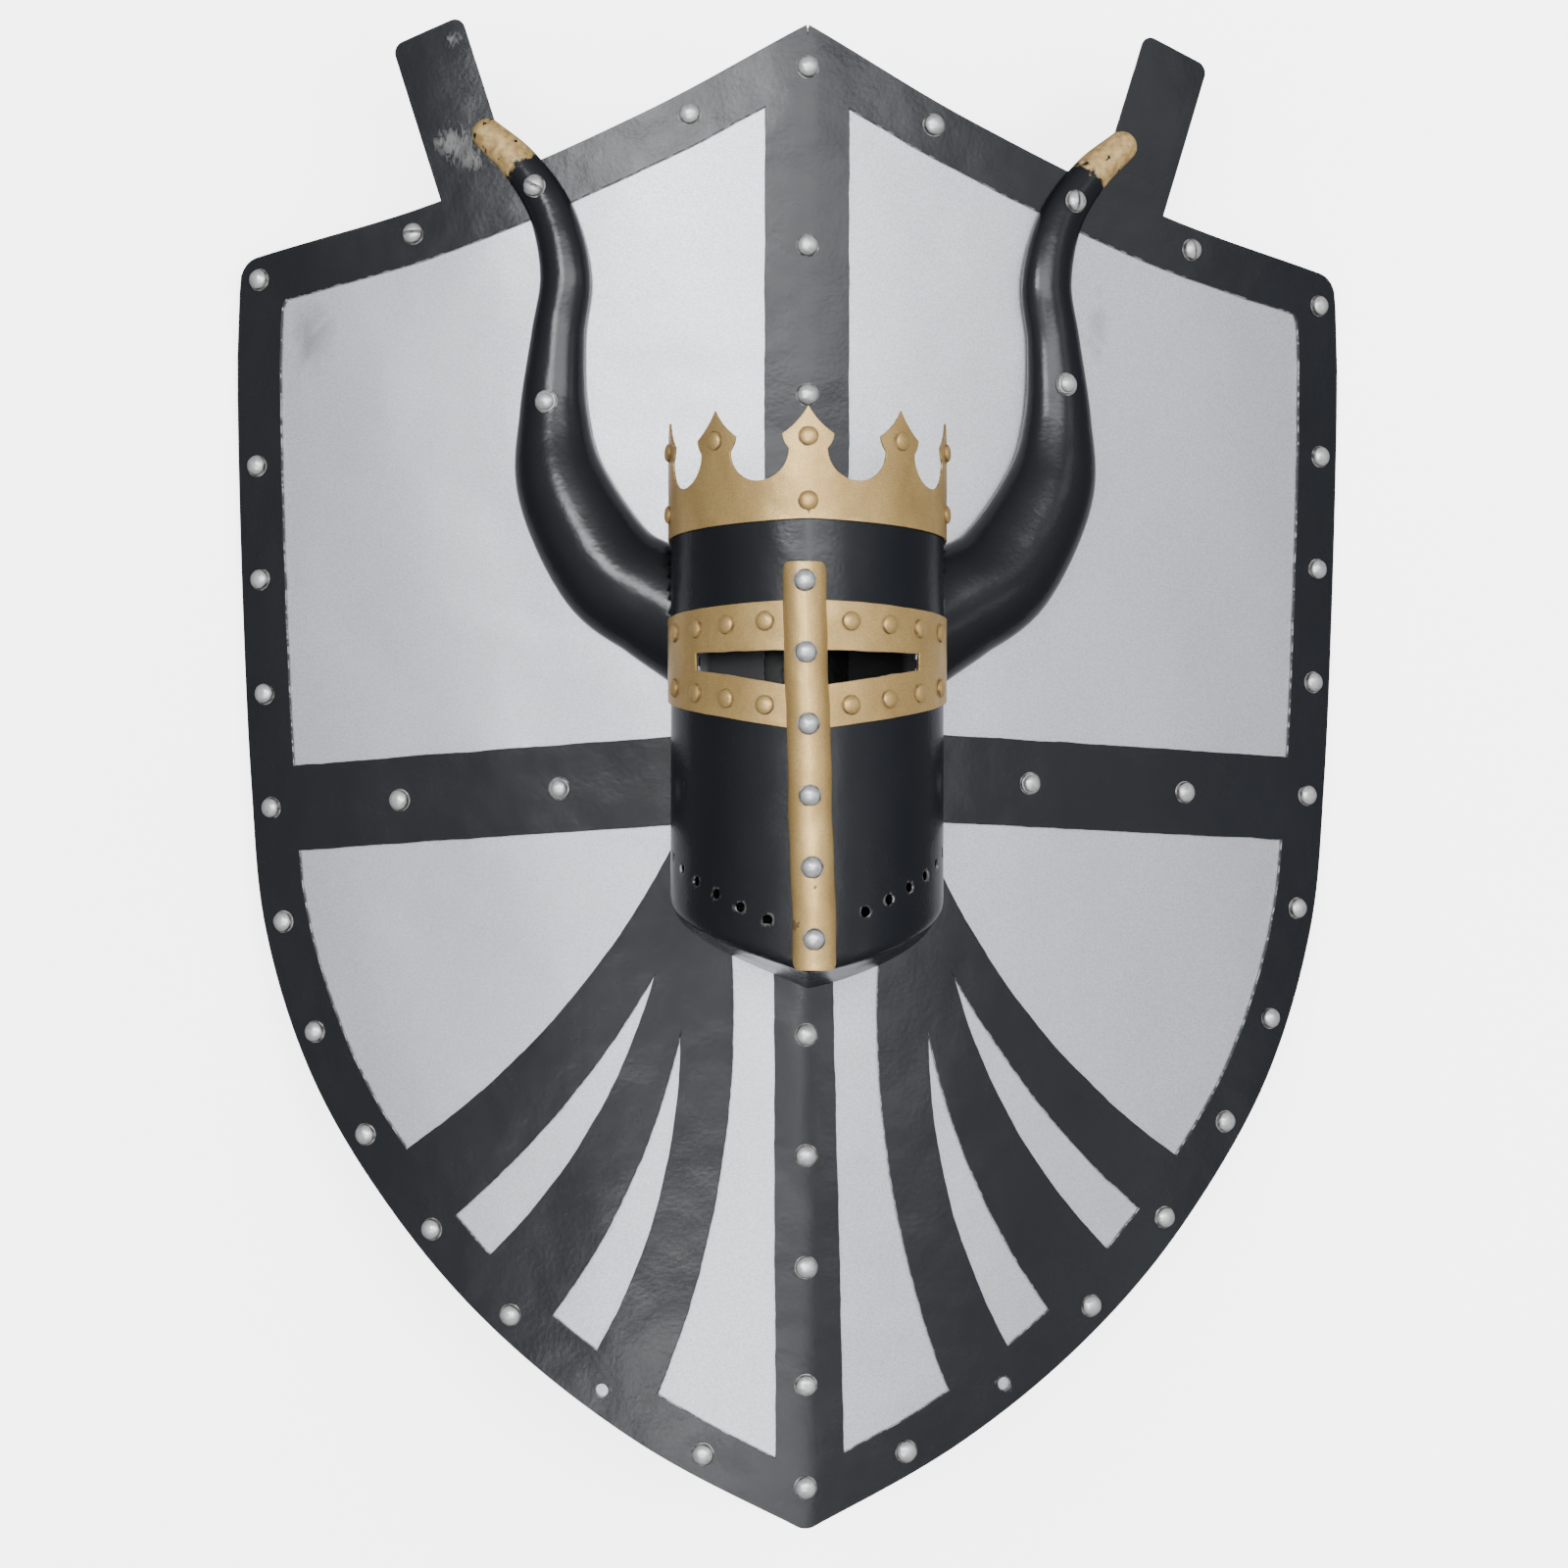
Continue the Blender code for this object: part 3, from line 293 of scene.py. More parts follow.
# Where the flat patterns' height 0 and the ridge's front lie in the frame
TO_FRAME = Vector((0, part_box("front_frame")[0][1] - SIDE_EDGE[-1][1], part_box("front_frame")[1][2]))
SHIELD_TO_FRAME = Matrix.Translation(TO_FRAME)
HELM_TO_FRAME = SHIELD_TO_FRAME @ Matrix.Rotation(-HELM_TURN, 4, "Y")


def smooth_line(points, steps):
    """Points of a Catmull-Rom curve through the given ones, with some steps in each span."""
    p = [np.array(point, float) for point in points]
    p = [2 * p[0] - p[1], *p, 2 * p[-1] - p[-2]]
    line = []
    for a, b, c, d in zip(p, p[1:], p[2:], p[3:]):
        for step in range(steps):
            t = step / steps
            square, cube = 2 * a - 5 * b + 4 * c - d, 3 * b - a - 3 * c + d
            line.append(0.5 * (2 * b + (c - a) * t + square * t**2 + cube * t**3))
    return [*line, p[-2]]


def bowed(start, end, bow, reach=1.0, steps=24):
    """A parabola from start to end, or past it by reach, that bulges to the right of its way."""
    a, b = np.array(start), np.array(end)
    way = b - a
    side = np.array((way[1], -way[0])) / np.linalg.norm(way)
    return [a + way * t + side * bow * 4 * t * (1 - t) for t in np.linspace(0.0, reach, steps + 1)]


def nearest(spot, line):
    """Distance from a spot to an open line."""
    found = []
    for a, b in zip(line, line[1:]):
        share = np.clip((spot - a) @ (b - a) / ((b - a) @ (b - a)), 0, 1)
        found.append(np.linalg.norm(spot - a - share * (b - a)))
    return min(found)


def inset(line, distance):
    """The open line moved to the right of its way, its corners mitred and its ends kept on the ridge."""
    line = [np.array(point, float) for point in line]
    ways = [(b - a) / np.linalg.norm(b - a) for a, b in zip(line, line[1:])]
    rights = [np.array((way[1], -way[0])) for way in ways]
    moved = [np.array((0.0, line[0][1] + distance / rights[0][1]))]
    for point, before, after in zip(line[1:], rights, rights[1:]):
        moved.append(point + distance * (before + after) / (1 + before @ after))
    moved.append(np.array((0.0, line[-1][1] + distance / rights[-1][1])))
    return [spot for spot in moved if nearest(spot, line) > distance - 1e-6]


def rounded(points, radius, steps=8):
    """The corner at the middle one of three points, as an arc of that radius."""
    a, b, c = (np.array(point, float) for point in points)
    one, two = (a - b) / np.linalg.norm(a - b), (c - b) / np.linalg.norm(c - b)
    half = math.acos(one @ two) / 2
    start, end = b + one * radius / math.tan(half), b + two * radius / math.tan(half)
    middle = b + (one + two) / np.linalg.norm(one + two) * radius / math.sin(half)
    swept = math.pi - 2 * half
    arc = []
    for step in range(steps + 1):
        t = step / steps
        mix = (start - middle) * math.sin((1 - t) * swept) + (end - middle) * math.sin(t * swept)
        arc.append(middle + mix / math.sin(swept))
    return arc


def flipped(line):
    """The line mirrored at the ridge, its way turned round."""
    return [np.array((-point[0], point[1])) for point in reversed(line)]


def closed(right, left):
    """One outline of two half lines from the ridge back to the ridge, the left one drawn mirrored."""
    return [*right, *(point for point in flipped(left) if abs(point[0]) > 1e-6)]


def ring(middle, radius, steps=24):
    """A closed circle of spots."""
    turns = np.linspace(0, 2 * math.pi, steps, endpoint=False)
    return [np.array((middle[0] + radius * math.cos(a), middle[1] + radius * math.sin(a))) for a in turns]


def hand_cut(outline, seed, wobble=CUT_WOBBLE):
    """The closed outline with points every few millimetres, each a little off, as cut by hand."""
    cut = []
    for a, b in zip(outline, [*outline[1:], outline[0]]):
        way = b - a
        length = np.linalg.norm(way)
        if length < 1e-7:
            continue
        side = np.array((way[1], -way[0])) / length
        count = max(1, round(length / CUT_STEP))
        for k in range(count):
            spot = a + way * k / count
            fine = noise.noise(Vector((spot[0] * 170, spot[1] * 170, seed)))
            broad = noise.noise(Vector((spot[0] * 45, spot[1] * 45, seed + 7)))
            cut.append(spot + side * wobble * (fine + 1.4 * broad))
    return cut


def half_outline():
    """The right half of the outline with its corner sharp, from the peak to the tip."""
    top = smooth_line(TOP_EDGE, 10)
    return [*top, *smooth_line(SIDE_EDGE, 10)[1:]], len(top) - 1


def height_of_top(across):
    """Height of the outline's top edge at a distance from the ridge."""
    line = np.array(smooth_line(TOP_EDGE, 10))
    return float(np.interp(across, line[:, 0], line[:, 1]))


def tab_outline(side):
    """A tab, drawn on the right, from its inner edge's foot round its end to its outer edge's foot."""
    way = np.array((math.sin(TAB_LEAN), math.cos(TAB_LEAN)))
    across = np.array((-way[1], way[0])) * TAB_WIDTH
    foot = np.array((TAB_FOOT[side], height_of_top(TAB_FOOT[side])))
    outer, inner = foot + way * TAB_LENGTH, foot + way * TAB_LENGTH + across
    inner_foot = foot + across
    while inner_foot[1] > height_of_top(inner_foot[0]):
        inner_foot = inner_foot - way * TAB_LENGTH / 400
    end = [*rounded((inner_foot, inner, outer), TAB_CORNER), *rounded((inner, outer, foot), TAB_CORNER)]
    return [inner_foot, *end, foot]


def rounded_tip(line):
    """The line's way to its tip on the ridge, rounded off there."""
    tip = line[-1]
    beside = next(point for point in reversed(line) if point[0] > 3 * TIP_RADIUS)
    arc = rounded((beside, tip, (-beside[0], beside[1])), TIP_RADIUS, 16)[:9]
    return [point for point in line if point[0] > arc[0][0] or point[1] > 0] + arc


def frame_outline(tabs):
    """The whole closed outline, with or without the tabs, the small notch at the peak with them."""
    line, corner = half_outline()
    round_corner = rounded(line[corner - 1 : corner + 2], CORNER_RADIUS * 0.98)
    halves = []
    for side in ("right", "left"):
        top = line[:corner]
        if tabs:
            tab = tab_outline(side)
            inside = [point for point in line[1:corner] if point[0] < tab[0][0] - 1e-6]
            top = [*inside, *tab, *(point for point in line[1:corner] if point[0] > tab[-1][0] + 1e-6)]
            wide, deep = PEAK_NOTCH
            peak = line[0][1]
            top = [np.array((0.0, peak - deep)), np.array((wide, peak - wide / 2)), *top]
        halves.append([*top, *rounded_tip([*round_corner, *line[corner + 1 :]])])
    return closed(*halves)


def crossing(line, rim):
    """The first crossing of an open line with the rim: (index in line, index in rim, spot)."""
    for i, (a, b) in enumerate(zip(line, line[1:])):
        for j, (c, d) in enumerate(zip(rim, rim[1:])):
            r, s, q = b - a, d - c, c - a
            area = r[0] * s[1] - r[1] * s[0]
            if abs(area) < 1e-14:
                continue
            t, u = (q[0] * s[1] - q[1] * s[0]) / area, (q[0] * r[1] - q[1] * r[0]) / area
            if 0 < t <= 1 and 0 <= u <= 1:
                return i, j, a + r * t
    raise ValueError("the line ends inside the rim")


def cut_out(first, second, rim):
    """The region between two lines that leave one spot, out to the rim."""
    first, second = ([np.array(point, float) for point in line] for line in (first, second))
    i, j, one = crossing(first, rim)
    k, m, two = crossing(second, rim)
    return [*first[: i + 1], one, *rim[j + 1 : m + 1], two, *reversed(second[1 : k + 1])]


def cross_height(across):
    """Height of the cross bar's middle, whose arms droop and which tilts a little as a whole."""
    return CROSS_MIDDLE - math.tan(CROSS_DROOP) * abs(across) + math.tan(CROSS_TILT) * across


def bar_edge(side, height):
    """The lower bar's edge at a height, between its distances from the ridge at 0 and at the tip."""
    start, end = BAR_LOWER[side]
    return start + (end - start) * height / SIDE_EDGE[-1][1], height


def side_windows(side):
    """The two windows and three slots of one side, drawn on the right."""
    sign = SIDES[side]
    rim = inset(half_outline()[0], BORDER)
    half, far = CROSS_HEIGHT / 2, 0.5
    corner = (BAR_UPPER, cross_height(sign * BAR_UPPER) + half)
    upper = cut_out([corner, (BAR_UPPER, far)], [corner, (far, cross_height(sign * far) + half)], rim)
    edge = bowed(*RAY_EDGE[side], reach=OVERRUN)
    start = (edge[0][0], cross_height(sign * edge[0][0]) - half)
    found = [upper, cut_out([start, (far, cross_height(sign * far) - half)], [start, *edge], rim)]
    for tip, outer_end, outer_bow, inner_end, inner_bow in SLOTS:
        outer, inner = bowed(tip, outer_end, outer_bow, OVERRUN), bowed(tip, inner_end, inner_bow, OVERRUN)
        found.append(cut_out(outer, inner, rim))
    edge = bowed(*WIDE_SLOT, reach=OVERRUN)
    head, foot = bar_edge(side, edge[0][1]), bar_edge(side, SIDE_EDGE[-1][1])
    return [*found, cut_out([head, *edge], [head, foot], rim)]


def windows():
    """All cut-outs of the frame: four windows and six slots between the rays."""
    return [*side_windows("right"), *(flipped(outline) for outline in side_windows("left"))]


def edge_rivets(side):
    """Spots along one side from the tip up: evenly spaced ones, then the one in the corner."""
    line, corner = half_outline()
    way_up = np.array(list(reversed(inset(line, RIVET_INSET)))[: len(line) - corner])
    steps = np.linalg.norm(np.diff(way_up, axis=0), axis=1)
    run = np.concatenate(([0.0], np.cumsum(steps)))
    at = [EDGE_START + k * EDGE_PITCH[side] for k in range(EDGE_RIVETS)] + [run[-1] - CORNER_DROP[side]]
    return [(SIDES[side] * np.interp(d, run, way_up[:, 0]), np.interp(d, run, way_up[:, 1])) for d in at]


def rivet_spots():
    """Name and flat spot of every rivet through the two sheets, and the two empty holes."""
    spots, empty = {}, []
    spots["rivet_peak"] = (0.0, TOP_EDGE[0][1] - END_RIVET_INSET)
    spots["rivet_tip"] = (0.0, SIDE_EDGE[-1][1] + END_RIVET_INSET)
    for number, height in enumerate(CENTRE_RIVETS, 1):
        spots[f"rivet_centre_{number}"] = (0.0, height)
    line, corner = half_outline()
    top = np.array(inset(line, RIVET_INSET))[:corner]
    for side, sign in SIDES.items():
        for number, spot in enumerate(edge_rivets(side)):
            if number == EMPTY_HOLE:
                empty.append(spot)
            else:
                spots[f"rivet_edge_{side}_{number + 1:02d}"] = spot
        for number, across in enumerate(TOP_RIVETS[side], 1):
            height = float(np.interp(across, top[:, 0], top[:, 1]))
            spots[f"rivet_top_{side}_{number}"] = (sign * across, height)
        for number, across in enumerate(CROSS_RIVETS[side], 1):
            spots[f"rivet_cross_{side}_{number}"] = (sign * across, cross_height(sign * across))
    return spots, empty


def shield_section(along):
    """(x, z) of the shield's front across it: a round ridge, then wings that curve away."""
    reach = np.abs(along)
    ridge = RIDGE_RADIUS * RIDGE_SLOPE
    slope = np.where(reach < ridge, reach / RIDGE_RADIUS, RIDGE_SLOPE + (reach - ridge) / WING_RADIUS)
    lower = np.minimum(slope, RIDGE_SLOPE)
    x = RIDGE_RADIUS * np.sin(lower) + WING_RADIUS * (np.sin(slope) - np.sin(lower))
    z = RIDGE_RADIUS * (np.cos(lower) - 1) + WING_RADIUS * (np.cos(slope) - np.cos(lower))
    return np.sign(along) * x, z


def shield_surface(along, height):
    """Spots on the front of the frame sheet, with its slight waves, in the shield's frame."""
    x, z = shield_section(along)
    wave = np.sin(38 * height + 1.3) * np.cos(31 * along - 0.4) + np.sin(71 * along + 23 * height)
    return np.stack((x, height, z + WAVE_HEIGHT * wave / 2), axis=-1)


def helm_section(along):
    """(x, z) round the helm's outer face: a half round with a front crease, then straight sides back."""
    angle = np.clip(along, -QUARTER, QUARTER) / HELM_RADIUS
    straight = np.maximum(np.abs(along) - QUARTER, 0)
    lean = np.sqrt(np.sin(angle) ** 2 + CREASE_ROUND**2)
    crease = HELM_CREASE * (1 - np.minimum(lean, 1))
    return HELM_RADIUS * np.sin(angle), HELM_CENTRE + HELM_RADIUS * np.cos(angle) + crease - straight


def chin_height(along, heights):
    """Height of a chin edge, from its value in the middle to that at the side."""
    power = np.where(np.asarray(along) < 0, CHIN_ROUND["left"], CHIN_ROUND["right"])
    share = np.minimum(1.0, np.abs(along) / QUARTER) ** power
    return heights[0] + (heights[1] - heights[0]) * share


def turned_section():
    """Distances along the shield's sheet, and the X and Z of its front there in the helm's frame."""
    along = np.linspace(-SIDE_REACH, SIDE_REACH, 600)
    sx, sz = shield_section(along)
    x = sx * math.cos(HELM_TURN) + sz * math.sin(HELM_TURN)
    return along, x, -sx * math.sin(HELM_TURN) + sz * math.cos(HELM_TURN)


def floor_of_helm(x):
    """Z of the shield's front in the helm's frame, at an X there."""
    return np.interp(x, *turned_section()[1:])


def along_at(x):
    """Distance along the shield's sheet of a spot that the helm's front view shows at that X."""
    along, turned_x = turned_section()[:2]
    return np.interp(x, turned_x, along)


def chin_front(along):
    """Height of the helm wall's foot: the chin's front edge, then the slanting foot of the sides."""
    share = np.maximum(np.abs(along) - QUARTER, 0) / (HELM_CENTRE + HELM_REACH)
    return chin_height(along, CHIN_FRONT) + share * (CHIN_BACK[1] - CHIN_FRONT[1])


def chin_back_spot(along):
    """Where the folded chin would meet the plane at the helm's reach."""
    x = helm_section(along)[0]
    return np.stack((x, chin_height(along, CHIN_BACK), np.full_like(x, -HELM_REACH)), axis=-1)


def helm_wall(along, height):
    """Spots on the helm's outer face above its chin."""
    x, z = helm_section(along)
    return np.stack((x, height, z), axis=-1)


def helm_surface(along, height):
    """Spots on the helm's outer face: its wall and, below its foot, the chin folded back under it."""
    foot = chin_front(along)
    corner = helm_wall(along, foot)
    back = chin_back_spot(along) - corner
    back = back / np.maximum(np.linalg.norm(back, axis=-1, keepdims=True), 1e-6)
    below = foot - height
    wall = helm_wall(along, np.maximum(height, foot))
    under = corner + back * np.maximum(below, 0)[..., None]
    share = np.clip((below + CHIN_FOLD) / (2 * CHIN_FOLD), 0, 1)[..., None]
    high = helm_wall(along, foot + CHIN_FOLD)
    low = corner + back * CHIN_FOLD
    fold = (1 - share) ** 2 * high + 2 * share * (1 - share) * corner + share**2 * low
    spot = np.where((below > 0)[..., None], under, wall)
    return np.where((np.abs(below) < CHIN_FOLD)[..., None], fold, spot)


def nose_surface(along, height):
    """Spots on the nose bar: half an oval across, with a slight hand-made waver."""
    angle = along / NOSE_WIDTH * 2
    waver = 0.0002 * np.sin(height * 90) + 0.00015 * np.sin(height * 210 + 1)
    x = NOSE_WIDTH / 2 * np.sin(angle) + waver
    middle = (NOSE_TOP + NOSE_FOOT) / 2
    turned = x * math.cos(NOSE_LEAN) - (height - middle) * math.sin(NOSE_LEAN) + NOSE_SHIFT
    return np.stack((turned, height, nose_seat() + NOSE_HEIGHT * np.cos(angle) + waver), axis=-1)


def nose_seat():
    """Z of the nose bar's foot, in the helm's frame."""
    lean = (VISOR_TOP[0] - (NOSE_TOP + NOSE_FOOT) / 2) * math.tan(NOSE_LEAN) - NOSE_SHIFT
    along = np.array([NOSE_WIDTH / 2 - NOSE_WALL - lean])
    return float(helm_section(along)[1][0]) + 2 * GAP + BAND_SHEET


def lifted(surface, along, height, lift):
    """Spots on a surface, moved off it along its normal."""
    step = 0.0002
    spot = surface(along, height)
    across = surface(along + step, height) - surface(along - step, height)
    up = surface(along, height + step) - surface(along, height - step)
    normal = np.cross(across, up)
    normal = normal / np.linalg.norm(normal, axis=-1, keepdims=True)
    return spot + normal * np.asarray(lift)[..., None], normal


def seat_on(surface, to_frame, along, height, lift=0.0):
    """The matrix that stands a piece, built along +Z, on a surface."""
    spot, normal = lifted(surface, np.array([along]), np.array([height]), np.array([lift]))
    turn = Vector((0, 0, 1)).rotation_difference(Vector(normal[0]))
    return to_frame @ Matrix.Translation(Vector(spot[0])) @ turn.to_matrix().to_4x4()


def placed(name, data):
    """A new object in the scene."""
    obj = bpy.data.objects.new(name, data)
    bpy.context.scene.collection.objects.link(obj)
    return obj


def as_mesh(shape, name):
    """A new mesh of the bmesh, which is freed."""
    mesh = bpy.data.meshes.new(name)
    shape.to_mesh(mesh)
    shape.free()
    return mesh


def split(shape, spot, normal, dist=1e-6, clear=False):
    """Cuts the whole bmesh at a plane, and clears what lies behind it if asked to."""
    geometry = [*shape.verts, *shape.edges, *shape.faces]
    bmesh.ops.bisect_plane(shape, geom=geometry, dist=dist, plane_co=spot, plane_no=normal, clear_inner=clear)


def bisected(shape, cell):
    """Cuts the flat sheet into cells of that width and height."""
    for axis in (0, 1):
        places = [vert.co[axis] for vert in shape.verts]
        low, high = min(places), max(places)
        normal = Vector((1, 0, 0)) if axis == 0 else Vector((0, 1, 0))
        for k in range(math.ceil(low / cell[axis]), math.floor(high / cell[axis]) + 1):
            split(shape, normal * k * cell[axis], normal, dist=2e-6)


def flat_sheet(name, outlines, thickness, cell):
    """A flat sheet with rounded edges, its upper face at Z = 0, cut into cells."""
    curve = bpy.data.curves.new(name, "CURVE")
    curve.dimensions = "2D"
    curve.fill_mode = "BOTH"
    curve.bevel_depth = EDGE_ROUND
    curve.bevel_resolution = 1
    curve.offset = -EDGE_ROUND
    curve.extrude = thickness / 2 - EDGE_ROUND
    for outline in outlines:
        spline = curve.splines.new("POLY")
        spline.points.add(len(outline) - 1)
        for point, (x, y) in zip(spline.points, outline):
            point.co = (x, y, 0, 1)
        spline.use_cyclic_u = True
    drawn = placed(name, curve)
    graph = bpy.context.evaluated_depsgraph_get()
    mesh = bpy.data.meshes.new_from_object(drawn.evaluated_get(graph))
    bpy.data.objects.remove(drawn)
    shape = bmesh.new()
    shape.from_mesh(mesh)
    bmesh.ops.remove_doubles(shape, verts=shape.verts, dist=1e-6)
    bmesh.ops.recalc_face_normals(shape, faces=shape.faces)
    if shape.calc_volume(signed=True) < 0:
        bmesh.ops.reverse_faces(shape, faces=shape.faces)
    bisected(shape, cell)
    bmesh.ops.translate(shape, verts=shape.verts, vec=(0, 0, -thickness / 2))
    shape.to_mesh(mesh)
    shape.free()
    mesh.name = name
    return mesh


def coordinates(mesh):
    """The places of the mesh's vertices, as rows."""
    found = np.empty(len(mesh.vertices) * 3, np.float32)
    mesh.vertices.foreach_get("co", found)
    return found.reshape(-1, 3).astype(float)


def place_vertices(mesh, spots, matrix):
    """Moves the mesh's vertices to the spots, taken through the matrix."""
    world = spots @ np.array(matrix.to_3x3()).T + np.array(matrix.translation)
    mesh.vertices.foreach_set("co", world.astype(np.float32).ravel())
    mesh.update()


def mark(mesh, name, values):
    """Stores one value for each vertex, for a material to read."""
    attribute = mesh.attributes.new(name, "FLOAT", "POINT")
    attribute.data.foreach_set("value", np.asarray(values, np.float32))


def spots_near(places, marks):
    """How strongly each place is marked: 1 at a mark's middle, fading to 0 outside it."""
    found = np.zeros(len(places))
    for x, y, wide, high in marks:
        far = ((places[:, 0] - x) / wide) ** 2 + ((places[:, 1] - y) / high) ** 2
        found = np.maximum(found, np.exp(-far * 1.5))
    return found


def bent_sheet(name, outlines, thickness, top, surface, to_frame, cell, marks=()):
    """A sheet drawn flat and bent over a surface, its edges and its marked spots stored on it."""
    mesh = flat_sheet(name, outlines, thickness, cell)
    flat = coordinates(mesh)
    middle = -thickness / 2
    depth = np.abs(flat[:, 2] - middle)
    mark(mesh, "edge", depth < thickness / 2 - EDGE_ROUND * 0.2)
    mark(mesh, "bare", spots_near(flat, marks))
    spots = lifted(surface, flat[:, 0], flat[:, 1], flat[:, 2] + top)[0]
    place_vertices(mesh, spots, to_frame)
    return mesh


def piece(name, mesh, material, slot, *nodes):
    """A finished piece, which stands for its nodes."""
    obj = placed(name, mesh)
    mesh.materials.clear()
    mesh.materials.append(material)
    mesh.shade_smooth()
    mesh.set_sharp_from_angle(angle=SHARP_ANGLE)
    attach(obj, "root")
    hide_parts(*nodes)
    return obj


def turned(profile, segments=40):
    """A lathed closed form in a bmesh, from a profile of (radius, height) whose ends lie on the axis."""
    shape = bmesh.new()
    verts = [shape.verts.new((radius, 0, height)) for radius, height in profile]
    edges = [shape.edges.new(pair) for pair in zip(verts, verts[1:])]
    bmesh.ops.spin(
        shape, geom=[*verts, *edges], cent=(0, 0, 0), axis=(0, 0, 1), angle=2 * math.pi, steps=segments,
        use_merge=True,
    )
    bmesh.ops.remove_doubles(shape, verts=shape.verts, dist=1e-6)
    bmesh.ops.recalc_face_normals(shape, faces=shape.faces)
    return shape


def head_foot(radius, rim):
    """The end of a head's profile: its rim, which is rounded, and the thin ring round it that carries painted
    shade.
    """
    # The thin ring that carries painted shade round the head's foot
    grime = radius * SHADE_RING_REACH
    return [(radius, rim * 0.3), (grime, SHADE_RING_HEIGHT), (grime, 0.0)]


def dome_arc(radius, height, rim):
    """Profile of a domed head from its top to its rim."""
    arc = []
    for angle in np.linspace(0, math.pi / 2, 10):
        arc.append((radius * math.sin(angle) ** 0.94, rim + (height - rim) * math.cos(angle)))
    return arc


def dome(radius, height, rim):
    """Profile of a domed head with its foot."""
    return [*dome_arc(radius, height, rim), *head_foot(radius, rim)]


def stepped_dome(radius, height, rim):
    """A dome with a small step round it, as a worn snap leaves."""
    step = [(radius * 0.86, rim * 1.6), (radius * 0.95, rim * 1.4), (radius, rim)]
    return [*dome_arc(radius * 0.84, height, rim * 2), *step, *head_foot(radius, rim)]


def mark_foot_shade(shape, name, radius):
    """Stores 1 where shade is painted, on the outer edge and foot of a head and on the ring round it, 0 on
    the rest of its dome and on its shank.
    """
    layer = shape.verts.layers.float.new(name)
    for vert in shape.verts:
        vert[layer] = float(vert.co.xy.length > radius * 0.93 and vert.co.z > -1e-6)


def rivet_mesh(name, matrix, head, depth, rng, slot_angle=None):
    """A rivet: head, shank and set tail, a little uneven."""
    low = -depth - TAIL_PROUD
    tail = [(SHANK_RADIUS, 0.0), (SHANK_RADIUS, -depth), (TAIL_RADIUS, -depth)]
    tail += [(TAIL_RADIUS, -depth - TAIL_PROUD * 0.4), (TAIL_RADIUS * 0.6, low), (0, low)]
    shape = turned([*head, *tail])
    # Marks where shade is painted round the head's foot
    mark_foot_shade(shape, "rim", head[-3][0])
    if slot_angle is not None:
        slot_head(shape, head, math.radians(slot_angle))
    offset = Vector((rng.random() * 50, rng.random() * 50, 0))
    for vert in shape.verts:
        if vert.co.z > 0.0002:
            vert.co += 0.00016 * noise.noise_vector(vert.co * 330 + offset)
    lean = Matrix.Rotation(rng.uniform(-0.05, 0.05), 4, "X")
    lean = lean @ Matrix.Rotation(rng.uniform(-0.05, 0.05), 4, "Y")
    bmesh.ops.transform(shape, matrix=matrix @ lean, verts=shape.verts)
    return as_mesh(shape, name)


def slot_head(shape, head, angle):
    """Presses a screwdriver slot into the head, with painted shade in it."""
    wide = head[-3][0] * 0.9
    normal = Matrix.Rotation(angle, 3, "Z") @ Vector((0, 1, 0))
    for across in (-SLOT_HALF, SLOT_HALF):
        for shift in (-SLOT_SLOPE, SLOT_SLOPE):
            split(shape, normal * (across + shift), normal)
    # The slot's floor gets painted shade
    grime = shape.verts.layers.float["rim"]
    for vert in shape.verts:
        if abs(vert.co.dot(normal)) < SLOT_HALF and vert.co.z > HEAD_RIM and vert.co.xy.length < wide:
            vert.co.z = max(vert.co.z - SLOT_DEPTH, HEAD_RIM)
            vert[grime] = 1.0


def horn_line():
    return smooth_line(HORN_LINE, HORN_STEPS)


def horn_mesh(name, side):
    """A horn: half-oval arches along its middle line, closed round its tip and open towards the helm."""
    sign = SIDES[side]
    line = horn_line()
    rows = [(row, 1.0, 0.0) for row in line[:-1]]
    rows += [(line[-1], math.cos(t), math.sin(t)) for t in np.linspace(0, math.pi / 2, 7)[:-1]]
    shape = bmesh.new()
    grid, run, travelled = [], [], 0.0
    total = sum(np.linalg.norm((b - a)[:2]) for a, b in zip(line, line[1:]))
    for k, (row, narrow, ahead) in enumerate(rows):
        x, y, half = row
        before, after = line[max(min(k, len(line) - 1) - 1, 0)], line[min(k + 1, len(line) - 1)]
        way = (after - before)[:2] / np.linalg.norm((after - before)[:2])
        across = np.array((way[1], -way[0]))
        if 0 < k < len(line):
            travelled += np.linalg.norm((line[k] - line[k - 1])[:2])
        angles = np.linspace(-math.pi / 2, math.pi / 2, HORN_SPANS + 1)
        spread = half * narrow * np.sin(angles)
        spots = np.array((x, y)) + spread[:, None] * across + way * half * ahead
        lift = HORN_RISE * half * narrow * np.cos(angles) + GAP
        along = along_at(sign * spots[:, 0])
        grid.append([shape.verts.new(place) for place in lifted(shield_surface, along, spots[:, 1], lift)[0]])
        run += [total - travelled - half * ahead] * len(angles)
    for row, following in zip(grid, grid[1:]):
        for a, b, c, d in zip(row, row[1:], following[1:], following):
            shape.faces.new((a, b, c, d) if sign > 0 else (d, c, b, a))
    tip = shape.faces.new(reversed(grid[-1]) if sign > 0 else grid[-1])
    bmesh.ops.triangulate(shape, faces=[tip])
    mesh = as_mesh(shape, name)
    mark(mesh, "from_tip", run)
    mesh.transform(SHIELD_TO_FRAME)
    return mesh


def cut_at_helm(mesh, side):
    """Takes off the part of the horn that would reach into the helm."""
    shape = bmesh.new()
    shape.from_mesh(mesh)
    sign = SIDES[side]
    place = HELM_TO_FRAME @ Vector((sign * (HELM_RADIUS + 0.0004), 0, 0))
    normal = HELM_TO_FRAME.to_3x3() @ Vector((sign, 0, 0))
    split(shape, place, normal, clear=True)
    shape.to_mesh(mesh)
    shape.free()


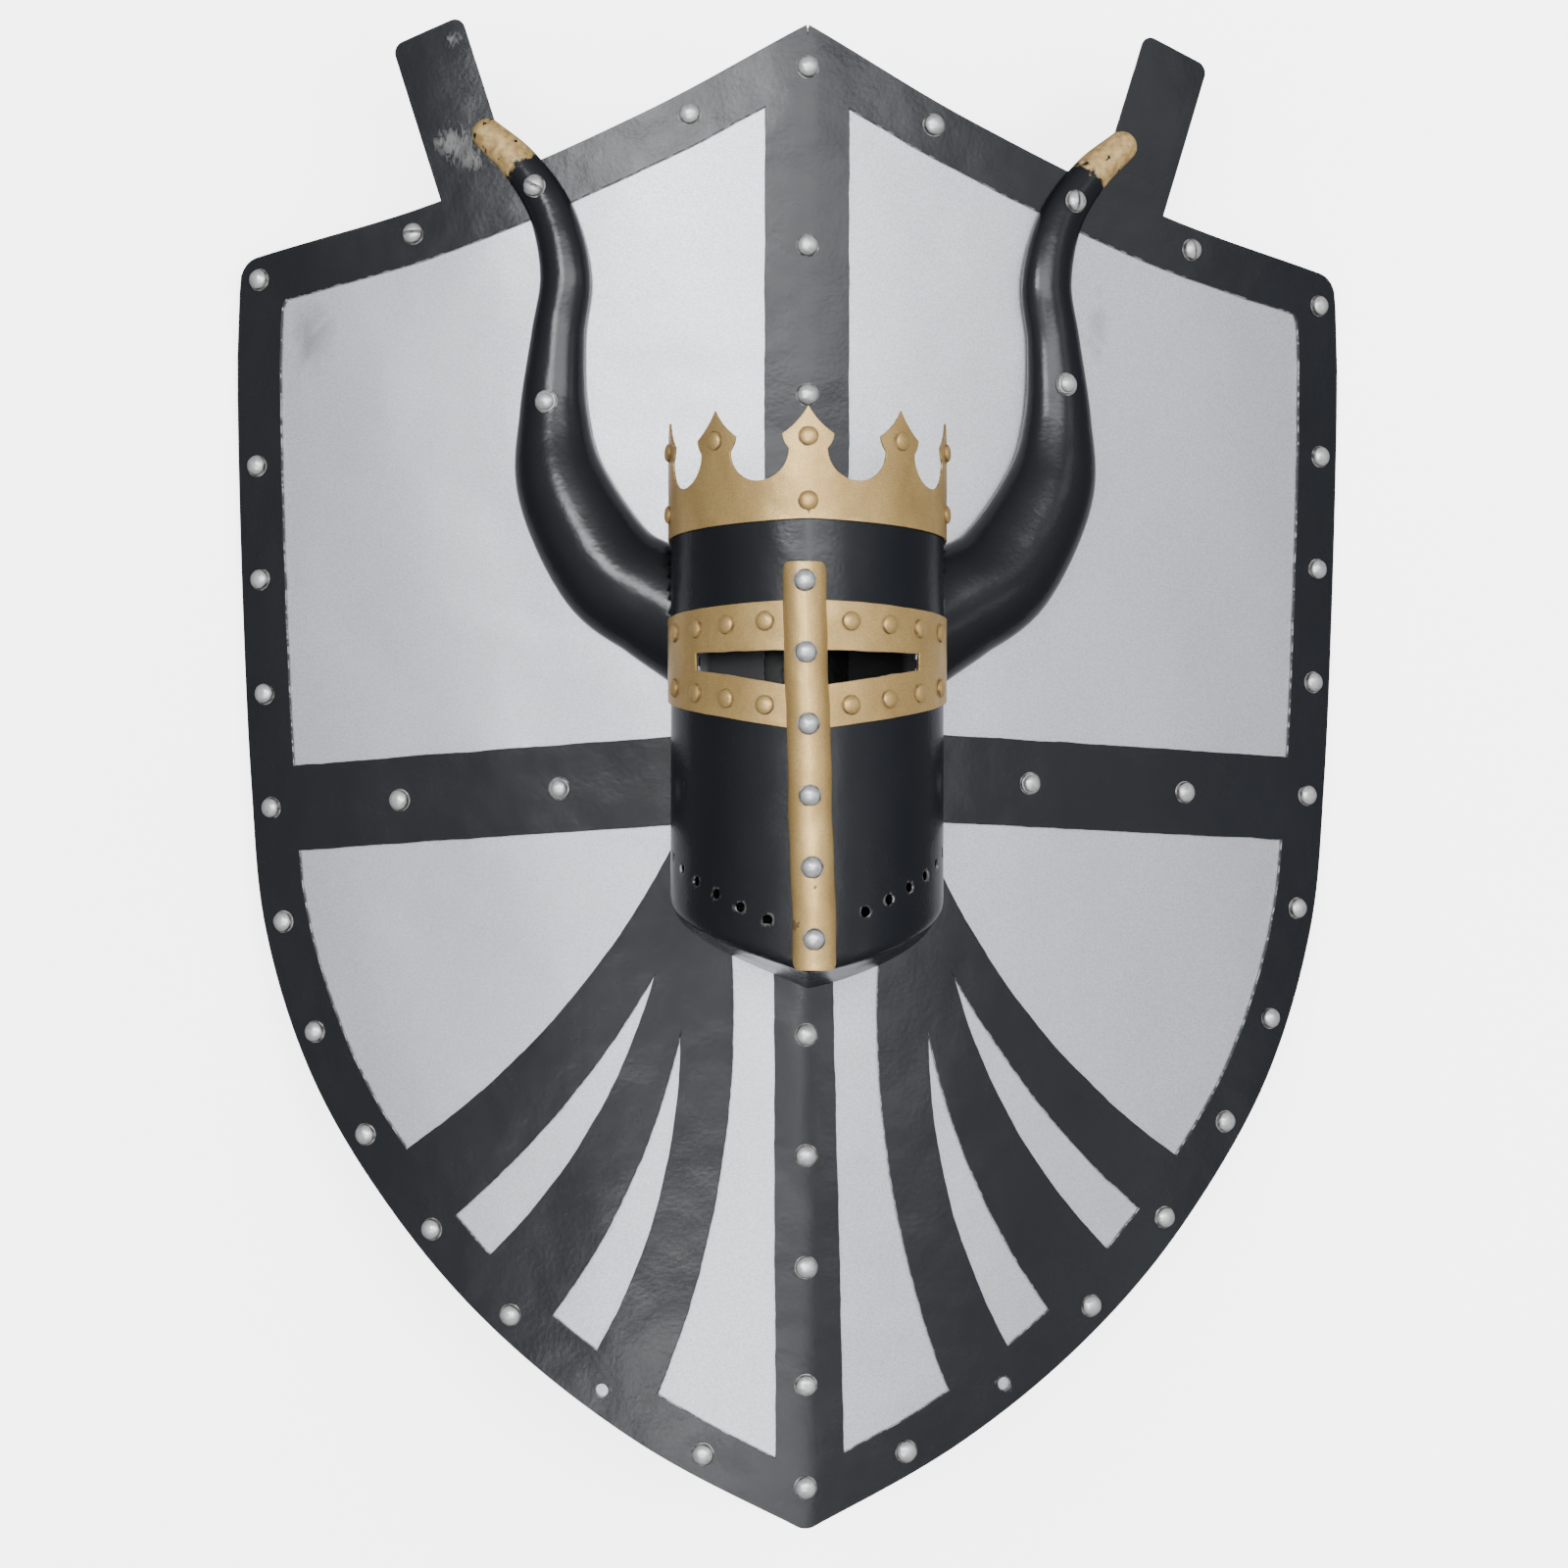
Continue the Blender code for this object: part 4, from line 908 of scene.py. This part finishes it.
def with_wall(obj, thickness):
    """The open surface as a sheet of that thickness, worked into its mesh."""
    wall = obj.modifiers.new("Wall", "SOLIDIFY")
    wall.thickness = thickness
    wall.offset = -1
    graph = bpy.context.evaluated_depsgraph_get()
    mesh = bpy.data.meshes.new_from_object(obj.evaluated_get(graph))
    obj.modifiers.clear()
    obj.data = mesh
    return obj


class Nodes:
    """A material's node tree, with short ways to add and join its nodes."""

    def __init__(self, name):
        self.material = bpy.data.materials.new(name)
        self.material.use_nodes = True
        self.tree = self.material.node_tree
        self.shader = self.tree.nodes["Principled BSDF"]
        self.place = self.add("ShaderNodeTexCoord").outputs["Object"]

    def add(self, kind, **inputs):
        node = self.tree.nodes.new(kind)
        for key, value in inputs.items():
            self.put(node.inputs[key.replace("_", " ")], value)
        return node

    def put(self, socket, value):
        if isinstance(value, bpy.types.NodeSocket):
            self.tree.links.new(value, socket)
        else:
            socket.default_value = value

    def noise(self, scale, detail=2.0, stretch=(1, 1, 1), distortion=0.0):
        mapping = self.add("ShaderNodeMapping", Vector=self.place)
        mapping.inputs["Scale"].default_value = stretch
        texture = self.add("ShaderNodeTexNoise", Vector=mapping.outputs[0], Scale=scale, Detail=detail)
        texture.inputs["Distortion"].default_value = distortion
        return texture.outputs["Fac"]

    def ramp(self, value, *stops):
        """A colour ramp; each stop is (place, grey or colour)."""
        node = self.add("ShaderNodeValToRGB", Fac=value)
        elements = node.color_ramp.elements
        while len(elements) < len(stops):
            elements.new(0.5)
        for element, (place, colour) in zip(elements, stops):
            element.position = place
            element.color = (*colour, 1) if isinstance(colour, tuple) else (colour, colour, colour, 1)
        return node.outputs["Color"]

    def maths(self, operation, one, two=0.0):
        node = self.tree.nodes.new("ShaderNodeMath")
        node.operation = operation
        self.put(node.inputs[0], one)
        self.put(node.inputs[1], two)
        return node.outputs[0]

    def mix(self, share, one, two):
        node = self.tree.nodes.new("ShaderNodeMix")
        node.data_type = "RGBA"
        self.put(node.inputs[0], share)
        for socket, value in ((node.inputs[6], one), (node.inputs[7], two)):
            self.put(socket, (*value, 1) if isinstance(value, tuple) else value)
        return node.outputs[2]

    def blend(self, share, one, two):
        node = self.tree.nodes.new("ShaderNodeMix")
        self.put(node.inputs[0], share)
        self.put(node.inputs[2], one)
        self.put(node.inputs[3], two)
        return node.outputs[0]

    def attribute(self, name):
        node = self.tree.nodes.new("ShaderNodeAttribute")
        node.attribute_name = name
        return node.outputs["Fac"]

    def bump(self, *layers):
        """Bumps on the shader, each layer a (height, distance)."""
        normal = None
        for height, distance in layers:
            node = self.add("ShaderNodeBump", Height=height, Distance=distance)
            if normal:
                self.put(node.inputs["Normal"], normal)
            normal = node.outputs["Normal"]
        self.put(self.shader.inputs["Normal"], normal)

    def set(self, **inputs):
        for key, value in inputs.items():
            if isinstance(value, tuple) and len(value) == 3:
                value = (*value, 1)
            self.put(self.shader.inputs[key.replace("_", " ")], value)


def black_paint():
    """Gloss black over steel: orange peel, dust, and bare metal on worn edges and scuffed spots."""
    n = Nodes("black_paint")
    worn = n.ramp(n.maths("MULTIPLY", n.attribute("edge"), n.noise(260, 4)), (0.50, 0.0), (0.60, 1.0))
    scuffed = n.maths("MULTIPLY", n.attribute("bare"), n.noise(320, 6, (1, 0.45, 1), 1.5))
    scuffed = n.ramp(scuffed, (0.30, 0.0), (0.52, 0.85))
    bare = n.maths("MAXIMUM", worn, scuffed)
    dust = n.ramp(n.noise(1400, 3), (0.66, 0.0), (0.74, 1.0))
    paint = n.mix(n.noise(14, 3), (0.0028, 0.0036, 0.0052), (0.0052, 0.0060, 0.0080))
    paint = n.mix(n.maths("MULTIPLY", dust, 0.04), paint, (0.30, 0.30, 0.30))
    n.set(Base_Color=n.mix(worn, n.mix(scuffed, paint, SCUFF), STEEL))
    n.set(Metallic=n.maths("MULTIPLY", worn, 0.6))
    gloss = n.blend(n.noise(30, 3), 0.20, 0.32)
    n.set(Roughness=n.blend(bare, gloss, 0.5))
    n.bump((n.noise(24, 2), 0.0012), (n.noise(420, 2), 0.00008), (bare, 0.00008))
    return n.material


def horn_paint():
    """The black paint of the horns, with gold-painted tips whose edge is ragged."""
    n = Nodes("horn_paint")
    ragged = n.maths("ADD", n.attribute("from_tip"), n.maths("MULTIPLY", n.noise(240, 3), 0.020))
    gold = n.ramp(ragged, (0.0340, 1.0), (0.0348, 0.0))
    chips = n.ramp(n.noise(170, 5), (0.33, 1.0), (0.35, 0.0))
    gold = n.maths("MULTIPLY", gold, n.maths("SUBTRACT", 1.0, chips))
    dust = n.ramp(n.noise(1400, 3), (0.66, 0.0), (0.74, 1.0))
    paint = n.mix(n.maths("MULTIPLY", dust, 0.04), (0.0038, 0.0045, 0.0062), (0.30, 0.30, 0.30))
    mottle = n.ramp(n.noise(300, 5), (0.36, 0.0), (0.64, 1.0))
    tint = n.mix(mottle, (0.25, 0.160, 0.060), (0.45, 0.310, 0.128))
    n.set(Base_Color=n.mix(gold, paint, tint))
    n.set(Metallic=n.maths("MULTIPLY", gold, 0.3))
    n.set(Roughness=n.blend(gold, n.blend(n.noise(40, 3), 0.16, 0.30), 0.45))
    n.bump((n.noise(26, 2), 0.0011), (n.noise(420, 2), 0.00008), (gold, 0.0001))
    return n.material


def silver_paint():
    """Satin silver paint with a fine speckle and a few smudges, and painted shade where the helm covers the
    sheet.
    """
    n = Nodes("silver_paint")
    speckle = n.noise(1100, 3)
    cloud = n.noise(9, 4)
    light = n.mix(cloud, (0.632, 0.634, 0.680), (0.692, 0.692, 0.738))
    light = n.mix(n.ramp(speckle, (0.35, 0.0), (0.65, 0.55)), light, (0.38, 0.38, 0.40))
    smudge = n.maths("MULTIPLY", n.attribute("bare"), n.noise(60, 5, (1, 1, 1), 1.0))
    smudge = n.ramp(smudge, (0.25, 0.0), (0.60, 0.5))
    # Painted shade: the sheet turns near black where the helm covers it
    inside = n.ramp(n.attribute("inside"), (0.25, 0.0), (0.35, 1.0))
    light = n.mix(smudge, light, (0.16, 0.16, 0.17))
    n.set(Base_Color=n.mix(inside, light, (0.09, 0.09, 0.095)))
    n.set(Metallic=0.78)
    n.set(Roughness=n.blend(speckle, 0.30, 0.42))
    n.bump((n.noise(18, 2), 0.0010), (speckle, 0.00004))
    return n.material


def gold_paint():
    """Satin gold paint, brushed on, darker at worn edges and in small chips, with painted shade round the
    foot of each rivet head.
    """
    n = Nodes("gold_paint")
    cloud = n.noise(55, 4, (1, 0.6, 1), 0.3)
    tint = n.mix(n.ramp(cloud, (0.30, 0.0), (0.70, 1.0)), (0.48, 0.310, 0.115), (0.64, 0.440, 0.180))
    grain = n.noise(1500, 2)
    tint = n.mix(n.ramp(grain, (0.35, 0.0), (0.7, 0.45)), tint, (0.24, 0.145, 0.048))
    worn = n.maths("MULTIPLY", n.attribute("edge"), n.ramp(n.noise(300, 3), (0.45, 0.0), (0.6, 0.8)))
    chip = n.ramp(n.maths("MULTIPLY", n.attribute("bare"), n.noise(420, 5)), (0.36, 0.0), (0.42, 0.9))
    # Painted shade round the foot of each rivet head
    rim = n.maths("MULTIPLY", n.attribute("rim"), n.ramp(n.noise(300, 3), (0.30, 0.25), (0.60, 0.9)))
    dark = n.maths("MAXIMUM", n.maths("MAXIMUM", worn, chip), rim)
    n.set(Base_Color=n.mix(dark, tint, (0.08, 0.045, 0.018)))
    n.set(Metallic=n.blend(dark, 0.7, 0.1))
    n.set(Roughness=n.blend(grain, 0.29, 0.42))
    n.bump((n.noise(60, 2), 0.0008), (grain, 0.00006), (dark, 0.0001))
    return n.material


def rivet_steel():
    """Dull plated steel with fine scratches and grime, and painted shade round each head's foot and in its
    slot.
    """
    n = Nodes("rivet_steel")
    grime = n.ramp(n.noise(420, 4), (0.32, 0.55), (0.50, 0.0))
    clean = n.mix(grime, (0.60, 0.60, 0.605), (0.32, 0.32, 0.32))
    # Painted shade: near black and dull round each head's foot and in its slot
    rim = n.maths("MULTIPLY", n.attribute("rim"), n.ramp(n.noise(300, 2), (0.25, 0.45), (0.60, 1.0)))
    n.set(Base_Color=n.mix(rim, clean, (0.045, 0.040, 0.035)))
    n.set(Metallic=n.blend(rim, 0.75, 0.1))
    n.set(Roughness=n.blend(n.noise(700, 3), 0.28, 0.40))
    n.bump((n.noise(400, 3), 0.00010), (n.noise(2600, 2), 0.00002))
    return n.material


def build_sheets(black, silver):
    """The black frame with its cut-outs, and the silver sheet behind it."""
    empty = rivet_spots()[1]
    outlines = [hand_cut(outline, 3.1 + k) for k, outline in enumerate(windows())]
    outlines = [frame_outline(tabs=True), *outlines, *(ring(spot, EMPTY_HOLE_RADIUS) for spot in empty)]
    worn = [*TAB_SCUFFS, *((x, y, EMPTY_HOLE_WEAR, EMPTY_HOLE_WEAR) for x, y in empty)]
    place = (shield_surface, SHIELD_TO_FRAME)
    mesh = bent_sheet("frame_sheet", outlines, FRAME_SHEET, 0, *place, (0.005, 0.010), worn)
    piece("frame_sheet", mesh, black, "black_paint", "front_frame")

    back = [frame_outline(tabs=False)]
    top = -FRAME_SHEET - GAP
    inner = [point * (1 - BACK_INSET / 0.28) for point in back[0]]
    mesh = bent_sheet("silver_sheet", [inner], BACK_SHEET, top, *place, (0.006, 0.012), SILVER_SMUDGES)
    places = coordinates(mesh) - np.array(TO_FRAME)
    # Where shade is painted on the sheet under the helm
    mark(mesh, "inside", spots_near(places, [HELM_SHADE_PATCH]))
    piece("silver_sheet", mesh, silver, "silver_paint", "back_sheet")


def build_rivets(steel):
    rng = random.Random(5)
    spots = {name: (*spot, 0.0) for name, spot in rivet_spots()[0].items()}
    line = np.array(horn_line())
    for side, sign in SIDES.items():
        for number, height in enumerate(HORN_RIVETS[side], 1):
            x = np.interp(height, line[:, 1], line[:, 0])
            half_below = np.interp(height - HEAD_RADIUS, line[:, 1], line[:, 2])
            lift = HORN_RISE * half_below + GAP
            spots[f"rivet_horn_{side}_{number}"] = (float(along_at(sign * x)), height, lift)
    stack = FRAME_SHEET + GAP + BACK_SHEET
    for name, (along, height, lift) in spots.items():
        matrix = seat_on(shield_surface, SHIELD_TO_FRAME, along, height, lift)
        draw_head = stepped_dome if name in STEPPED else dome
        head = draw_head(HEAD_RADIUS, HEAD_HEIGHT, HEAD_RIM)
        mesh = rivet_mesh(name + "_steel", matrix, head, stack + lift, rng, SLOTTED.get(name))
        piece(name + "_steel", mesh, steel, "rivet_steel", name)
    for number in range(1, NOSE_RIVETS + 1):
        height = NOSE_RIVET_TOP - (number - 1) * NOSE_RIVET_PITCH
        matrix = seat_on(nose_surface, HELM_TO_FRAME, 0.0, height)
        head = dome(NOSE_HEAD_RADIUS, NOSE_HEAD_HEIGHT, NOSE_HEAD_RIM)
        mesh = rivet_mesh(f"nose_rivet_{number}_steel", matrix, head, NOSE_HEIGHT * 0.9, rng)
        piece(f"nose_rivet_{number}_steel", mesh, steel, "rivet_steel", f"nose_rivet_{number}")


def slit_outlines():
    """The two eye slits on the flat helm sheet."""
    start, end = SLIT_RUN
    foot = SLIT_FOOT[0] + start / end * (SLIT_FOOT[1] - SLIT_FOOT[0])
    right = [(start, SLIT_TOP), (start, foot), (end, SLIT_FOOT[1]), (end, SLIT_TOP)]
    right = [np.array(point) for point in right]
    return [hand_cut(right, 1.7), hand_cut(flipped(right), 4.9)]


def helm_outline():
    """The helm's flat pattern: straight top, sides back to the shield, and the folded chin."""
    ends = [QUARTER + HELM_CENTRE - float(floor_of_helm(sign * HELM_RADIUS)) - GAP for sign in (-1, 1)]
    outline = [(-ends[0], HELM_TOP), (ends[1], HELM_TOP)]
    outline += [(u, float(chin_front(u))) for u in np.linspace(ends[1], QUARTER - 0.001, 12)]
    for u in np.linspace(QUARTER - 0.0015, -QUARTER + 0.0015, 100):
        spot = np.array([u])
        corner = helm_wall(spot, chin_front(spot))[0]
        back = chin_back_spot(spot)[0] - corner
        share = (corner[2] - float(floor_of_helm(corner[0])) - GAP) / (corner[2] + HELM_REACH)
        outline.append((u, float(chin_front(u)) - share * float(np.linalg.norm(back))))
    outline += [(u, float(chin_front(u))) for u in np.linspace(-QUARTER + 0.001, -ends[0], 12)]
    return [np.array(point, float) for point in outline]


def air_hole_spots():
    """Spots of the air holes on the helm sheet, on a slanting line down to the middle on each side."""
    foot, slope = AIR_HOLE_LINE
    spots = []
    for side, sign in SIDES.items():
        for number in range(AIR_HOLES):
            along = AIR_HOLE_START[side] + number * AIR_HOLE_PITCH[side]
            spots.append((sign * along, foot + along * slope))
    return spots


def build_helm(black):
    holes = [ring(spot, AIR_HOLE_RADIUS, 16) for spot in air_hole_spots()]
    outlines = [helm_outline(), *slit_outlines(), *holes]
    rims = [(x, y, AIR_HOLE_WEAR, AIR_HOLE_WEAR) for x, y in air_hole_spots()]
    place = (helm_surface, HELM_TO_FRAME)
    mesh = bent_sheet("helm_wall", outlines, HELM_SHEET, 0, *place, (0.0025, 0.002), rims)
    piece("helm_wall", mesh, black, "black_paint", "helm")


def band_line(along, heights):
    """Height of a band's edge that runs straight on the flat sheet."""
    return heights[0] + (heights[1] - heights[0]) * abs(along) / QUARTER


def add_heads(mesh, spots, lift, seed):
    """Joins gold rivet heads, each with a thin ring of painted shade round its foot, to a band's mesh."""
    shape = bmesh.new()
    shape.from_mesh(mesh)
    rng = random.Random(seed)
    for along, height in spots:
        head = turned([*dome(GOLD_HEAD_RADIUS, GOLD_HEAD_HEIGHT, GOLD_HEAD_RIM), (0, 0)], 28)
        # Marks where shade is painted round the head's foot
        mark_foot_shade(head, "rim", GOLD_HEAD_RADIUS)
        lean = Matrix.Rotation(rng.uniform(-0.06, 0.06), 4, "X")
        matrix = seat_on(helm_wall, HELM_TO_FRAME, along, height, lift) @ lean
        bmesh.ops.transform(head, matrix=matrix, verts=head.verts)
        part = as_mesh(head, "head")
        shape.from_mesh(part)
        bpy.data.meshes.remove(part)
    shape.to_mesh(mesh)
    shape.free()


def build_visor(gold):
    steps = np.linspace(-QUARTER, QUARTER, 60)
    outline = [np.array((u, band_line(u, VISOR_TOP))) for u in steps]
    outline += [np.array((u, band_line(u, VISOR_FOOT))) for u in reversed(steps)]
    outlines = [hand_cut(outline, 9.3, 0.00015), *slit_outlines()]
    lift = GAP + BAND_SHEET
    place = (helm_wall, HELM_TO_FRAME)
    mesh = bent_sheet("visor", outlines, BAND_SHEET, lift, *place, (0.0025, 0.004), VISOR_CHIPS)
    spots = []
    for angle in VISOR_RIVETS:
        along = HELM_RADIUS * math.radians(angle)
        for height in (band_line(along, VISOR_TOP) - VISOR_INSET, band_line(along, VISOR_FOOT) + VISOR_INSET):
            spots += [(along, height), (-along, height)]
    add_heads(mesh, spots, lift, 3)
    piece("visor", mesh, gold, "gold_paint", "visor_band")


def crown_point(middle):
    """One point of the crown on the flat strip, from its left neck over the tip to its right neck."""
    barb, neck = CROWN_BARB, CROWN_NECK
    right = [*bowed((0, CROWN_TIP), barb, 0.0011, steps=6), *bowed(barb, neck, -0.0006, steps=3)[1:]]
    left = [(-x, y) for x, y in reversed(right[1:])]
    return [np.array((middle + x, y)) for x, y in [*left, *right]]


def scallop(middle):
    """The round dip between two points, without its ends."""
    radius, depth = CROWN_PITCH / 2 - CROWN_NECK[0], CROWN_NECK[1] - CROWN_BAND_TOP
    angles = np.linspace(math.pi, 2 * math.pi, 17)[1:-1]
    return [np.array((middle + radius * math.cos(a), CROWN_NECK[1] + depth * math.sin(a))) for a in angles]


def build_crown(gold):
    end = (CROWN_POINTS + 0.5) * CROWN_PITCH
    top = [np.array((-end, CROWN_BAND_TOP))]
    for number in range(-CROWN_POINTS, CROWN_POINTS + 1):
        if number == -CROWN_POINTS:
            top += [point for point in scallop((number - 0.5) * CROWN_PITCH) if point[0] > -end + 1e-6]
        top += crown_point(number * CROWN_PITCH)
        top += [point for point in scallop((number + 0.5) * CROWN_PITCH) if point[0] < end - 1e-6]
    foot = []
    for u in np.linspace(end, -end, 60):
        foot.append(np.array((u, CROWN_FOOT[0] + (CROWN_FOOT[1] - CROWN_FOOT[0]) * abs(u) / end)))
    outline = [*top, np.array((end, CROWN_BAND_TOP)), *foot]
    lift = GAP + BAND_SHEET
    place = (helm_wall, HELM_TO_FRAME)
    mesh = bent_sheet("crown_band", [outline], BAND_SHEET, lift, *place, (0.0025, 0.004), CROWN_CHIPS)
    spots = [(number * CROWN_PITCH, CROWN_RIVETS[0]) for number in range(-CROWN_POINTS, CROWN_POINTS + 1)]
    spots += [(number * CROWN_PITCH, CROWN_RIVETS[1]) for number in (-CROWN_POINTS, 0, CROWN_POINTS)]
    add_heads(mesh, spots, lift, 8)
    piece("crown_band", mesh, gold, "gold_paint", "crown")


def build_nose_bar(gold):
    half = NOSE_WIDTH / 2 * math.pi / 2
    corners = [(half, NOSE_TOP), (half, NOSE_FOOT), (-half, NOSE_FOOT), (-half, NOSE_TOP)]
    outline = []
    for before, corner, after in zip([corners[-1], *corners], corners, [*corners[1:], corners[0]]):
        outline += rounded((before, corner, after), NOSE_CORNER)
    place = (nose_surface, HELM_TO_FRAME)
    mesh = bent_sheet("nose_guard", [outline], NOSE_WALL, 0, *place, (0.0012, 0.003), NOSE_CHIPS)
    piece("nose_guard", mesh, gold, "gold_paint", "nose_bar")


def build_horns(paint):
    for side in SIDES:
        mesh = horn_mesh(f"horn_{side}_shell", side)
        cut_at_helm(mesh, side)
        obj = piece(f"horn_{side}_shell", mesh, paint, "black_paint", f"horn_{side}")
        with_wall(obj, HORN_SHEET)


def build_floor():
    shape = bmesh.new()
    bmesh.ops.create_grid(shape, x_segments=1, y_segments=1, size=FLOOR_SIZE)
    mesh = as_mesh(shape, "floor")
    floor = placed("floor", mesh)
    floor.location.z = CAD_BOX[0][2] - FLOOR_DROP
    n = Nodes("floor")
    n.set(Base_Color=FLOOR_COLOUR)
    n.set(Emission_Color=(1.0, 1.0, 1.0))
    n.set(Emission_Strength=FLOOR_GLOW)
    n.set(Roughness=0.6)
    mesh.materials.append(n.material)
    floor.visible_glossy = False
    floor.visible_diffuse = False


def add_lamp(name, place, size, power, aim=(0, 0, 0.1)):
    lamp = bpy.data.lights.new(name, "AREA")
    lamp.shape = "RECTANGLE"
    lamp.size, lamp.size_y = size
    lamp.energy = power
    obj = placed(name, lamp)
    way = Vector(aim) - Vector(place)
    obj.matrix_world = Matrix.Translation(place) @ way.to_track_quat("-Z", "Y").to_matrix().to_4x4()
    return obj


class Sky(Nodes):
    """The world's node tree: a dim room with soft bright panels round the zenith."""

    def __init__(self, name):
        self.world = bpy.data.worlds.new(name)
        self.world.use_nodes = True
        self.tree = self.world.node_tree
        way = self.add("ShaderNodeSeparateXYZ", Vector=self.add("ShaderNodeTexCoord").outputs["Generated"])
        self.up = way.outputs["Z"]
        high = self.maths("MAXIMUM", self.up, 0.05)
        self.across = self.maths("DIVIDE", way.outputs["X"], high)
        self.along = self.maths("DIVIDE", way.outputs["Y"], high)

    def panel(self, middle, reach, glow):
        """A soft oval panel; its middle and reach are slopes from the zenith, across and along."""
        off = []
        for place, centre, half in zip((self.across, self.along), middle, reach):
            share = self.maths("DIVIDE", self.maths("SUBTRACT", place, centre), half)
            off.append(self.maths("MULTIPLY", share, share))
        node = self.tree.nodes.new("ShaderNodeMapRange")
        node.interpolation_type = "SMOOTHSTEP"
        for key, value in zip((0, 1, 2, 3, 4), (self.maths("ADD", *off), 0.35, 1.6, glow, 0.0)):
            self.put(node.inputs[key], value)
        return self.maths("MULTIPLY", node.outputs[0], self.maths("GREATER_THAN", self.up, 0.05))


def build_light():
    sky = Sky("studio")
    glow = sky.ramp(sky.up, *SKY_STOPS)
    for middle, reach, power in SKY_PANELS:
        glow = sky.maths("MAXIMUM", glow, sky.panel(middle, reach, power))
    background = sky.tree.nodes["Background"]
    background.inputs["Color"].default_value = SKY_COLOUR
    sky.put(background.inputs["Strength"], glow)
    bpy.context.scene.world = sky.world
    add_lamp("flash", *FLASH).visible_diffuse = False
    for fill in FILLS:
        add_lamp("fill", *fill).visible_glossy = False


def build_camera():
    camera = bpy.data.cameras.new("camera")
    camera.lens = LENS_MM
    camera.sensor_width = SENSOR_MM
    obj = placed("camera", camera)
    obj.matrix_world = SHIELD_TO_FRAME @ Matrix.LocRotScale(Vector(CAMERA_PLACE), Euler(CAMERA_TURN), None)
    bpy.context.scene.camera = obj


build_camera()
build_floor()
build_light()
BLACK = black_paint()
GOLD = gold_paint()
build_sheets(BLACK, silver_paint())
build_helm(BLACK)
build_visor(GOLD)
build_crown(GOLD)
build_nose_bar(GOLD)
build_horns(horn_paint())
build_rivets(rivet_steel())
